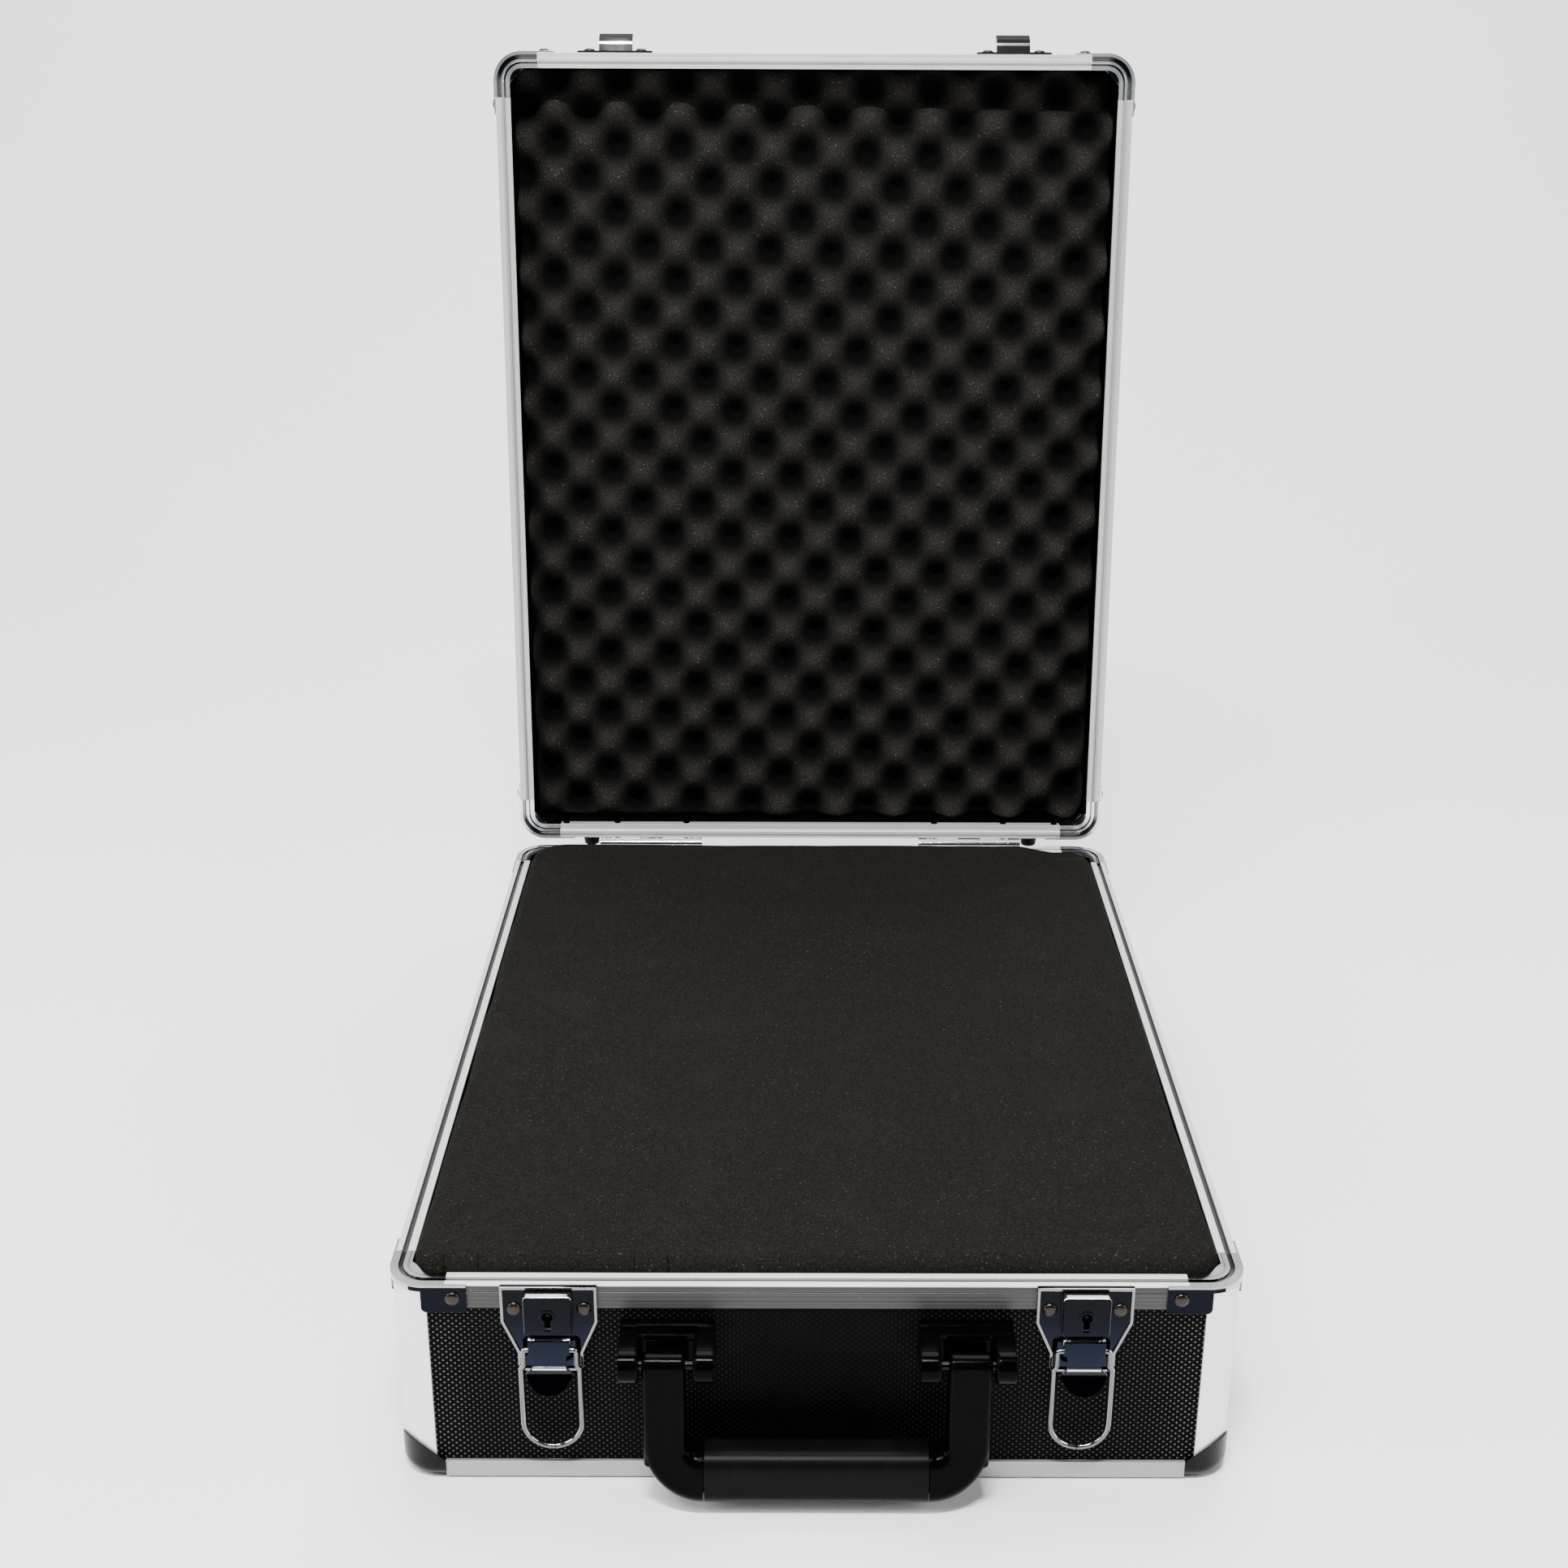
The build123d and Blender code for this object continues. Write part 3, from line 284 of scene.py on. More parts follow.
def laminate(name, across, upward, wall, middle_shade):
    """Black laminate with staggered rows of small raised dots, on a face along two directions.
    The dots are painted light grey as their highlights.

    wall names the shell whose outer surface alone has the dots; middle_shade fades their painted
    highlights in the middle, as painted shade.
    """
    looks = bpy.context.scene.mixer_case_finish
    finish = Finish(name, Specular_IOR_Level=0.025)
    pitch = looks.dot_pitch / MM
    row_step = pitch * 0.43
    dot_radius, dot_flat = 0.52, 0.2
    skin, skin_full = 4.0, 3.0
    aside, row = finish.along(across), finish.along(upward) / row_step
    shift = (row.floor() % 2.0) * 0.5
    side = ((aside / pitch + shift).fraction() - 0.5) * pitch
    rise = (row.fraction() - 0.5) * row_step
    dot = (side * side + rise * rise).root().rise(dot_radius, dot_flat)
    if wall:
        dot = dot * finish.inset(wall).rise(skin, skin_full)
    dust = finish.noise(0.05, 4.0).rise(0.35, 0.75)
    wear = finish.noise(0.6, 3.0)
    plain = finish.blend(dust, looks.laminate, scaled(looks.laminate, 1.6))
    # Painted shade: the dots' painted highlights fade in the face's middle.
    side_lit = aside.magnitude().rise(15.0, 130.0) * middle_shade + (1.0 - middle_shade)
    # Painted highlight: the dots' light grey, lighter still near the face's ends.
    light = finish.blend(aside.magnitude().rise(135.0, 160.0), shade(0.08), shade(0.17))
    finish.feed(Base_Color=finish.blend(dot * (0.5 + wear * 0.5) * side_lit, plain, light))
    finish.feed(Roughness=0.42 + wear * 0.14 - dot * 0.1)
    finish.bump(dot + wear * 0.05, 0.06)
    return finish.material


def extrusion(name, direction, level=1.0, faces=None, band=None, shaded_inside=None):
    """Satin anodised aluminium with fine lines along the profile.

    level makes a lighter or darker copy of the aluminium, as painted light and shade. faces is a
    direction and the places on it between which the metal turns dark, as painted shade. band names
    the shell that has a darker line of painted shade round its mouth, shaded_inside the shell whose
    inner side is painted black, as painted shade.
    """
    looks = bpy.context.scene.mixer_case_finish
    ridge_pitch, line_inset, wall_depth = 1.9, 4.2, (2.6, 3.2)
    finish = Finish(name, Metallic=0.6)
    lines = finish.brushed(direction)
    smudge = finish.noise(0.04, 4.0)
    scuff = finish.noise(0.9, 5.0).rise(0.66, 0.8)
    # Painted light and shade: level makes a lighter or darker copy of the one aluminium.
    light = scaled(looks.aluminium, level)
    bright = finish.blend(lines, scaled(light, 0.86), light)
    if faces:
        way, bright_end, dark_end = faces
        # Painted shade: the rims' outer faces turn to a dark copy of the aluminium, with lighter
        # lines every 1.9 mm.
        height = finish.along(way)
        ridge = (height / ridge_pitch).fraction().rise(0.62, 0.7)
        deep = finish.blend(lines * 0.05 + ridge * 0.03, looks.rim_face_shade, shade(0.4))
        bright = finish.blend(height.rise(bright_end, dark_end), bright, deep)
    if band:
        # Painted shade: a grey line round the shell's mouth.
        line = finish.inset(band).near(line_inset, 1.5, 0.9)
        bright = finish.blend(line * 0.7, bright, shade(0.26))
    if shaded_inside:
        # Painted shade: metal deeper than 2.6 mm in from the outline, inside the shell, is painted
        # near black.
        inner = finish.inset(shaded_inside).rise(*wall_depth)
        bright = finish.blend(inner, bright, shade(0.002))
    finish.feed(Base_Color=finish.blend(scuff * 0.2, bright, shade(0.4)))
    finish.feed(Roughness=0.3 + lines * 0.1 + smudge * 0.1 + scuff * 0.08)
    finish.bump(lines + scuff * 0.3, 0.012, edge_mm=0.25)
    return finish.material


def plated(finish, tint, rough, edge_mm=0.3, dark=None):
    """Bright plating on pressed steel, with faint press marks and smudges.

    dark is a value and the colour to which it turns the tint.
    """
    smudge = finish.noise(0.12, 4.0)
    fine = finish.noise(2.5, 3.0)
    scratch = finish.noise(1.2, 6.0).rise(0.68, 0.78)
    body = finish.blend(dark[0], tint, dark[1]) if dark else tint
    dulled_and_shaded = finish.blend(0.25, body, shade(0.0))
    finish.feed(Base_Color=finish.blend(scratch * 0.4 + smudge * 0.2, body, dulled_and_shaded))
    finish.feed(Roughness=rough + smudge.rise(0.45, 0.75) * 0.06 + scratch * 0.1)
    finish.bump(fine * 0.3 + smudge, 0.02, edge_mm=edge_mm)
    return finish.material


def plain_plating(name, level, rough):
    """Plating of one grey level."""
    return plated(Finish(name, Metallic=1.0), shade(level), rough)


def latch_plating():
    """Plating of the latches: dark flat faces and keyholes as painted reflection, bright beads,
    edges and folds as painted highlights.

    The zones go by the distances in mm out from the case's front and down from the base's mouth.
    From 21 mm down the lever's face is in front, further out than the lock box's.
    """
    finish = Finish("latch_plating", Metallic=1.0)
    out = finish.along(-AXIS_Y) - FRONT
    depth = BASE_MOUTH - finish.along(AXIS_Z)
    box_front, lever_further, key_depth = 6.85, 0.75, 13.3
    front = box_front + depth.rise(21.0, 21.4) * lever_further
    keyhole = finish.along(AXIS_X).magnitude().near(LATCH_ASIDE, 2.3, 2.1)
    keyhole = keyhole * depth.near(key_depth, 5.4, 5.2)
    # Painted highlights: the folds, the bead and the lever's ridge keep the bright tint.
    folds = out.rise(1.35, 1.6) * (front - out).rise(0.0, 0.3) * (1.0 - keyhole)
    ridge = out.rise(7.9, 8.05) * depth.rise(34.0, 34.6) * depth.rise(37.6, 37.0)
    bead = out.rise(1.95, 2.05) * out.rise(2.7, 2.5)
    flat = (1.0 - folds * (1.0 - bead * 0.75)) * (1.0 - ridge)
    # Painted reflection: the flat faces turn from near black to dark blue lower down.
    low = finish.blend(depth.rise(10.0, 36.0), (0.006, 0.0066, 0.008), (0.0105, 0.013, 0.022))
    return plated(finish, (0.72, 0.73, 0.75), 0.06, edge_mm=0.35, dark=(flat, low))


def bail_plating():
    """Plating of the bails: front painted dark as a painted reflection, bright sides, and a dull
    seam between the wire's ends.
    """
    finish = Finish("bail_plating", Metallic=1.0)
    low = finish.along(AXIS_Z).rise(25.0, 23.5)
    aside = finish.along(AXIS_X).magnitude() + low * 0.8
    seam = aside.near(LATCH_ASIDE, 0.35, 0.15) * low
    # Painted reflection: the wire's front, over 6 mm out from the case, is painted dark.
    front = (finish.along(-AXIS_Y) - FRONT).rise(5.95, 6.2)
    dark = ((front * 0.85 + seam).at_most(1.0), shade(0.05))
    return plated(finish, shade(0.6), 0.07, edge_mm=0.0, dark=dark)


def catch_plating():
    """Plating of the catches on the open lid: painted dark as a painted reflection, with a painted
    highlight on the bend under the hook.
    """
    finish = Finish("catch_plating", Specular_IOR_Level=0.05)
    out = finish.along(LID_ALONG) - (LID_MIDDLE + FRONT)
    # Painted highlight: only the bend under the hook is bright metal; the rest is painted dark as a
    # reflection.
    bend = out.rise(5.0, 5.3) * out.rise(6.5, 6.2)
    finish.feed(Metallic=bend * 0.95 + 0.05)
    dark = (1.0 - bend, (0.011, 0.0115, 0.0105))
    return plated(finish, (0.8, 0.81, 0.82), 0.08, dark=dark)


def corner_plating(body, metallic):
    """Plating of a shell's rim corners: light on the mouth's face, with its grooves and bead as
    bands of painted shade and highlight, and dark flanges as painted reflection.
    """
    finish = Finish(f"{body}_corner_plating", Metallic=metallic)
    deep, mouth = (LID_DEEP, LID_MOUTH) if body == "lid" else (AXIS_Z, BASE_MOUTH)
    aside, ahead, inset = finish.outline(body)
    sunk = (finish.along(deep) - mouth).magnitude()
    face = sunk.rise(1.5, 1.2)
    side, end = (aside - CORE_X).at_least(0.0), (ahead - CORE_Y).at_least(0.0)
    # Painted reflection: darkest in the middle of each corner's arc.
    middle = 1.0 - (side / (side + end + 0.01) - 0.5).magnitude() * 2.0
    reach = sunk.rise(6.5, 3.0) * 5.0
    beside = (aside - reach).rise(CORE_X + 1.6, CORE_X + 1.2)
    before = (ahead - reach).rise(CORE_Y + 1.6, CORE_Y + 1.2)
    flange = beside.at_least(before) * (1.0 - face)
    # Painted shade and highlight: bands across the mouth's face for its grooves and bead.
    if body == "lid":
        bands = inset.near(2.1, 1.5, 0.9) * 0.9 + inset.near(5.3, 0.7, 0.3) + inset.rise(7.8, 8.3)
        dulled_and_shaded = face * (bands * 0.85 + middle * 0.45)
    else:
        bands = inset.near(3.5, 1.3, 0.8) + inset.near(6.6, 0.5, 0.2) * 0.5
        dulled_and_shaded = face * (0.62 + bands * 0.4 - middle * 0.15) + (1.0 - face) * 0.3
    # Painted reflection: the darkened face zones and the flanges turn to dark blue.
    dark = ((dulled_and_shaded + flange).at_most(1.0), (0.0055, 0.0066, 0.0095))
    return plated(finish, (0.72, 0.73, 0.74), 0.1, dark=dark)


def moulded(name, tint, rough, grain_mm, edge_mm=0.4, specular=0.16):
    """Black moulded plastic with a fine grain and slightly polished high spots."""
    finish = Finish(name, Specular_IOR_Level=specular)
    grain = finish.noise(2.2, 3.0)
    cloud = finish.noise(0.08, 3.0)
    finish.feed(Base_Color=finish.blend(cloud.rise(0.4, 0.8) * 0.6, tint, scaled(tint, 1.8)))
    finish.feed(Roughness=rough + cloud * 0.08 + grain * 0.05)
    finish.bump(grain, grain_mm, edge_mm=edge_mm)
    return finish.material


def foam(name, level=1.0, cuts=(), valley=None):
    """Open-cell charcoal foam with pores and bright specks painted as glints.

    cuts are dark lines in the front edge: place aside, how far back, and width, in mm. valley is a
    direction and the places on it between which the foam turns dark, the dark one first: painted
    shade in the egg-crate's valleys. level makes a lighter or darker copy of the charcoal, as
    painted light.
    """
    finish = Finish(name, Roughness=1.0, Specular_IOR_Level=0.04)
    # Painted light: level makes a lighter or darker copy of the charcoal.
    tint = scaled(bpy.context.scene.mixer_case_finish.foam, level)
    pores = finish.cells(1.3).rise(0.1, 0.75)
    fine = finish.noise(1.1, 5.0)
    cloud = finish.noise(0.03, 4.0)
    height = pores * 0.35 + fine
    # Painted glints: small bright specks.
    glint_speck = finish.noise(0.95, 1.0).rise(0.68, 0.75)
    body = finish.blend(fine.rise(0.35, 0.65), scaled(tint, 0.5), tint)
    body = finish.blend((1.0 - pores) * 0.3, body, scaled(tint, 0.35))
    body = finish.blend(cloud.rise(0.5, 0.8) * 0.15, body, scaled(tint, 1.5))
    if valley:
        direction, deep, shallow = valley
        # Painted shade: the foam darkens towards the valleys' bottoms, and loses its glints there.
        sunk = finish.along(direction).rise(shallow, deep)
        body = finish.blend(sunk * 0.93, body, shade(0.0008))
        glint_speck = glint_speck * (1.0 - sunk)
    body = finish.blend(glint_speck * 0.36, body, scaled(tint, 9.0))
    for aside, back, width in cuts:
        line = finish.along(AXIS_X).near(aside, width, width * 0.5)
        line = line * finish.along(AXIS_Y).rise(back + 2.0, back)
        height = height - line * 1.5
        body = finish.blend(line * 0.6, body, shade(0.002))
    finish.feed(Base_Color=body)
    finish.bump(height, 0.32)
    return finish.material


# Meshes


def linked(name, data):
    """New object with a mesh, light or camera, in the scene."""
    piece = bpy.data.objects.new(name, data)
    bpy.context.scene.collection.objects.link(piece)
    return piece


def mesh_object(name, vertices, faces, material, smooth=True):
    """Object at the origin from points in metres; faces turned outwards."""
    mesh = bpy.data.meshes.new(name)
    mesh.from_pydata([tuple(v) for v in vertices], [], faces)
    work = bmesh.new()
    work.from_mesh(mesh)
    bmesh.ops.remove_doubles(work, verts=work.verts, dist=1e-6)
    bmesh.ops.recalc_face_normals(work, faces=work.faces)
    for face in work.faces:
        face.smooth = smooth
    work.to_mesh(mesh)
    work.free()
    mesh.materials.append(material)
    return linked(name, mesh)


def rounded_spot(x, y, half_x, half_y, radius):
    """Point pulled inside a rectangle's rounded corner, and its distance from the outline."""
    core_x, core_y = half_x - radius, half_y - radius
    beyond = Vector((max(abs(x) - core_x, 0.0), max(abs(y) - core_y, 0.0)))
    if beyond.x > 0 and beyond.y > 0:
        square = max(beyond.x, beyond.y)
        beyond = beyond.normalized() * square
        x = math.copysign(core_x + beyond.x, x)
        y = math.copysign(core_y + beyond.y, y)
        return x, y, radius - beyond.length
    return x, y, min(half_x - abs(x), half_y - abs(y))


def slab(half_x, half_y, top, floor, shape, step, corner, rear_left=None):
    """Closed slab with a fine top, its points from shape(x, y, distance to the outline, top).

    step is the distance between those points, corner the radius of its corners, and rear_left
    another radius for that corner.
    """
    columns = max(2, round(2 * half_x / step))
    rows = max(2, round(2 * half_y / step))
    vertices, faces = [], []
    for row in range(rows + 1):
        for column in range(columns + 1):
            x = -half_x + 2 * half_x * column / columns
            y = -half_y + 2 * half_y * row / rows
            radius = rear_left if rear_left and x <= 0 <= y else corner
            x, y, inside = rounded_spot(x, y, half_x, half_y, radius)
            vertices.append(shape(x, y, max(inside, 0.0), top))
    width = columns + 1
    for row in range(rows):
        for column in range(columns):
            first = row * width + column
            faces.append((first, first + 1, first + 1 + width, first + width))
    ring = list(range(width))
    ring += [row * width + columns for row in range(1, rows + 1)]
    ring += [rows * width + column for column in range(columns - 1, -1, -1)]
    ring += [row * width for row in range(rows - 1, 0, -1)]
    levels = 6
    previous = ring
    for level in range(1, levels + 1):
        current = []
        for index in ring:
            x, y, z = vertices[index]
            current.append(len(vertices))
            vertices.append(Vector((x, y, z + (floor - z) * level / levels)))
        for position, index in enumerate(previous):
            after = (position + 1) % len(ring)
            faces.append((index, current[position], current[after], previous[after]))
        previous = current
    faces.append(tuple(reversed(previous)))
    return vertices, faces


def flat_shape(x, y, inside, top):
    """Top of a plain slab."""
    return Vector((x, y, top))


def ripple(x, y, per_metre, layer):
    """Smooth noise from -1 to 1 over the plan, each layer with its own pattern."""
    return noise.noise(Vector((x * per_metre, y * per_metre, layer)))


def pluck_shape(x, y, inside, top):
    """Top of the base foam: rounded edge, slight waves and dents, and a lower rear right corner."""
    round_edge, pulled_edge = 6.0 * MM, 14.0 * MM
    corner_x, corner_y, corner_drop = 0.125, 0.19, 4.0 * MM
    drop = 0.0
    if inside < round_edge:
        drop = round_edge - math.sqrt(max(round_edge**2 - (round_edge - inside) ** 2, 0.0))
    wave = ripple(x, y, 9.0, 1.7) * 0.7 * MM
    lump = ripple(x, y, 40.0, 4.2) * 0.25 * MM
    edge_pull = max(0.0, 1.0 - inside / pulled_edge)
    sway = (ripple(x, y, 24.0, 8.8) - 0.35) * 1.3 * MM * edge_pull
    if y > corner_y and x > corner_x:
        drop += corner_drop * min(1.0, (x - corner_x) / 0.02) * min(1.0, (y - corner_y) / 0.015)
    out = Vector((x, y)).normalized() * sway
    return Vector((x + out.x, y + out.y, top - drop + min(wave + lump, 0.3 * MM)))


def opened_tree(name, sockets):
    """New Geometry Nodes tree as a graph, and its input node, with these sockets: name and kind."""
    tree = bpy.data.node_groups.new(name, "GeometryNodeTree")
    tree.interface.new_socket("Geometry", in_out="INPUT", socket_type="NodeSocketGeometry")
    for socket, kind in sockets:
        tree.interface.new_socket(socket, in_out="INPUT", socket_type=kind)
    tree.interface.new_socket("Geometry", in_out="OUTPUT", socket_type="NodeSocketGeometry")
    graph = Graph(tree)
    return graph, graph.node("NodeGroupInput")


def closed_tree(graph, geometry, material):
    """Ends a Geometry Nodes tree with real geometry of one material, and gives the tree."""
    solid = graph.node("GeometryNodeRealizeInstances", {"Geometry": geometry})
    given = {"Geometry": solid.outputs[0], "Material": material}
    dressed = graph.node("GeometryNodeSetMaterial", given)
    graph.node("NodeGroupOutput", {"Geometry": dressed.outputs[0]})
    return graph.tree


def egg_crate_group(material):
    """Geometry Nodes tree that raises the egg-crate peaks on a flat-topped slab."""
    sizes = ("Pitch X", "Pitch Y", "Peak Height", "Turn", "Shift X", "Shift Y", "Floor")
    sizes += ("Half X", "Half Y", "Edge Height")
    graph, given = opened_tree("egg_crate", [(size, "NodeSocketFloat") for size in sizes])
    asked = {size: graph.value(given.outputs[size]) for size in sizes}
    spot = graph.node("GeometryNodeInputPosition").outputs[0]
    turned = graph.node(
        "ShaderNodeVectorRotate", {"Vector": spot, "Angle": asked["Turn"]}, rotation_type="Z_AXIS"
    )
    lattice = graph.node("ShaderNodeSeparateXYZ", {0: turned.outputs[0]})
    plain = graph.node("ShaderNodeSeparateXYZ", {0: spot})
    waves, edges = [], []
    for index, axis in enumerate("XY"):
        along = graph.value(lattice.outputs[index]) - asked[f"Shift {axis}"]
        waves.append((along * math.pi / asked[f"Pitch {axis}"]).cosine())
        inside = asked[f"Half {axis}"] - graph.value(plain.outputs[index]).magnitude()
        edges.append(inside.rise(5.5 * MM, 2.0 * MM))
    swell = ((waves[0] * waves[1] + 1.0) * 0.5) ** 0.85
    wobble = graph.node("ShaderNodeTexNoise", {"Vector": spot, "Scale": 45.0, "Detail": 2.0})
    lift = swell * asked["Peak Height"] * (0.94 + graph.value(wobble.outputs[0]) * 0.08)
    is_top = (graph.value(plain.outputs[2]) - asked["Floor"]).rise(0.0, 11.0 * MM)
    lip = edges[0].at_least(edges[1]) * asked["Edge Height"]
    move = graph.node("ShaderNodeCombineXYZ", {2: lift.at_least(lip) * is_top})
    given = {"Geometry": given.outputs["Geometry"], "Offset": move.outputs[0]}
    moved = graph.node("GeometryNodeSetPosition", given)
    return closed_tree(graph, moved.outputs[0], material)


def domed_rivet(head, dome, length):
    """Rivet along +Z: domed head on z = 0, shank and turned-over tail below it."""
    turns, rings, rim = 20, 5, 0.12 * dome
    shank, tail, tail_height = 1.6 * MM, 1.9 * MM, 0.8 * MM
    profile = [(tail, -length), (tail, tail_height - length), (shank, tail_height - length)]
    profile += [(shank, 0.0), (head, 0.0), (head, rim)]
    for ring in range(1, rings):
        angle = math.pi / 2 * ring / rings
        profile.append((head * math.cos(angle), rim + (dome - rim) * math.sin(angle)))
    vertices, faces = [], []
    for radius, height in profile:
        for turn in range(turns):
            angle = 2 * math.pi * turn / turns
            vertices.append(Vector((radius * math.cos(angle), radius * math.sin(angle), height)))
    for ring in range(len(profile) - 1):
        for turn in range(turns):
            after = (turn + 1) % turns
            low, high = ring * turns, (ring + 1) * turns
            faces.append((low + turn, low + after, high + after, high + turn))
    vertices.append(Vector((0, 0, dome)))
    vertices.append(Vector((0, 0, -length)))
    last = (len(profile) - 1) * turns
    for turn in range(turns):
        after = (turn + 1) % turns
        faces.append((last + turn, last + after, len(vertices) - 2))
        faces.append((after, turn, len(vertices) - 1))
    return vertices, faces


def span(spots, way):
    """Lowest and highest place of points along a direction."""
    reach = [spot.dot(way) for spot in spots]
    return min(reach), max(reach)


def rivet_seats(node, ways, dome):
    """Head seat, outward direction and length of each rivet in a CAD node."""
    work = bmesh.new()
    work.from_mesh(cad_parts[node].data)
    bmesh.ops.remove_doubles(work, verts=work.verts, dist=2e-6)
    inner = Vector((0, 0, 0))
    if node.startswith("lid"):
        inner = HINGE_AXIS + LID_ALONG * CASE_DEPTH / 2
    waiting, seats = set(work.verts), []
    while waiting:
        island, front = set(), [waiting.pop()]
        while front:
            vertex = front.pop()
            island.add(vertex)
            for edge in vertex.link_edges:
                other = edge.other_vert(vertex)
                if other in waiting:
                    waiting.remove(other)
                    front.append(other)
        spots = [vertex.co.copy() for vertex in island]
        middle = sum(spots, Vector()) / len(spots)
        lengths = [high - low for low, high in (span(spots, way) for way in ways)]
        way = ways[lengths.index(max(lengths))]
        outward = way if (middle - inner).dot(way) > 0 else -way
        bottom, top = span(spots, outward)
        tail = [spot for spot in spots if spot.dot(outward) < bottom + 1e-5]
        centre = sum(tail, Vector()) / len(tail)
        seat = top - dome
        seats.append((centre + outward * (seat - centre.dot(outward)), outward, seat - bottom))
    work.free()
    return sorted(seats, key=lambda seat: tuple(seat[0]))


def joined(name, parts, material):
    """One object from several, with one material."""
    work = bmesh.new()
    for part in parts:
        work.from_mesh(part.data)
        bpy.data.objects.remove(part)
    mesh = bpy.data.meshes.new(name)
    for face in work.faces:
        face.smooth = True
    work.to_mesh(mesh)
    work.free()
    mesh.materials.append(material)
    return linked(name, mesh)


def scatter_group(material):
    """Geometry Nodes tree that sets a fastener on each point, turned to the point's direction."""
    graph, given = opened_tree("fasteners_on_points", [("Fastener", "NodeSocketObject")])
    shape = graph.node("GeometryNodeObjectInfo", {"Object": given.outputs["Fastener"]})
    outward = graph.node(
        "GeometryNodeInputNamedAttribute", {"Name": "outward"}, data_type="FLOAT_VECTOR"
    )
    turned = graph.node(
        "FunctionNodeAlignRotationToVector", {"Vector": outward.outputs["Attribute"]}, axis="Z"
    )
    given = {
        "Points": given.outputs["Geometry"],
        "Instance": shape.outputs["Geometry"],
        "Rotation": turned.outputs[0],
    }
    placed = graph.node("GeometryNodeInstanceOnPoints", given)
    return closed_tree(graph, placed.outputs[0], material)


def grown(piece, tree, **inputs):
    """Runs a Geometry Nodes tree on a piece and leaves the result as its plain mesh."""
    modifier = piece.modifiers.new("nodes", "NODES")
    modifier.node_group = tree
    for item in tree.interface.items_tree:
        if item.item_type == "SOCKET" and item.in_out == "INPUT" and item.name in inputs:
            modifier[item.identifier] = inputs[item.name]
    graph = bpy.context.evaluated_depsgraph_get()
    graph.update()
    result = bpy.data.meshes.new_from_object(piece.evaluated_get(graph), depsgraph=graph)
    piece.modifiers.remove(modifier)
    piece.data = result
    return piece


def dress(material, *nodes):
    """Gives CAD nodes a material in every slot."""
    for node in nodes:
        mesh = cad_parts[node].data
        mesh.materials.clear()
        mesh.materials.append(material)


# Settings


class MixerCaseFinish(bpy.types.PropertyGroup):
    """Colours and pattern sizes of the case's surfaces."""

    laminate: bpy.props.FloatVectorProperty(
        name="Laminate",
        description="Colour of the panels",
        subtype="COLOR",
        default=(0.0009, 0.0009, 0.001),
    )
    dot_pitch: bpy.props.FloatProperty(
        name="Dot pitch",
        description="Distance between the raised dots of one row",
        unit="LENGTH",
        default=3.25 * MM,
    )
    aluminium: bpy.props.FloatVectorProperty(
        name="Aluminium",
        description="Colour of the profiles",
        subtype="COLOR",
        default=(0.86, 0.86, 0.85),
    )
    # Painted shade: the dark copy of the aluminium on the rims' outer faces.
    rim_face_shade: bpy.props.FloatVectorProperty(
        name="Rim faces",
        description="Colour of the rims' outer faces",
        subtype="COLOR",
        default=(0.022, 0.022, 0.0215),
    )
    foam: bpy.props.FloatVectorProperty(
        name="Foam",
        description="Colour of the foam",
        subtype="COLOR",
        default=(0.0101, 0.0097, 0.0081),
    )


class MixerCaseSizes(bpy.types.PropertyGroup):
    """Sizes of the soft pieces and fasteners."""

    foam_gap: bpy.props.FloatProperty(
        name="Foam gap",
        description="From the base's outer face to its foam",
        unit="LENGTH",
        default=8.6 * MM,
    )
    foam_proud: bpy.props.FloatProperty(
        name="Foam height",
        description="How far the foam stands over the rim",
        unit="LENGTH",
        default=6.3 * MM,
    )
    crate_pitch: bpy.props.FloatVectorProperty(
        name="Egg-crate pitch",
        description="Half the distance between two peaks in a row, and between two rows",
        size=2,
        default=(17.6 * MM, 18.4 * MM),
    )
    crate_height: bpy.props.FloatProperty(
        name="Egg-crate height",
        description="From valley to peak",
        unit="LENGTH",
        default=17.0 * MM,
    )
    rivet_head: bpy.props.FloatProperty(
        name="Rivet head",
        description="Radius of a rivet's head",
        unit="LENGTH",
        default=3.15 * MM,
    )


# Operators

# Lamps of the stage: name, place, width and height, power in watts
LAMPS = (
    ("key", (-0.9, -1.3, 2.4), (0.9, 0.9), 54.0),
    ("side_right", (2.3, -0.6, 1.3), (1.0, 1.0), 14.0),
    ("side_left", (-2.3, -0.4, 1.2), (1.0, 1.0), 25.0),
    ("top", (0.2, 0.9, 3.0), (1.6, 1.6), 120.0),
    ("front_strip", (-0.05, -0.95, 1.8), (0.45, 0.035), 55.0),
    ("left_strip", (-1.5, -1.0, 0.75), (0.1, 0.9), 10.0),
    ("right_strip", (1.5, -1.0, 0.75), (0.1, 0.9), 10.0),
)


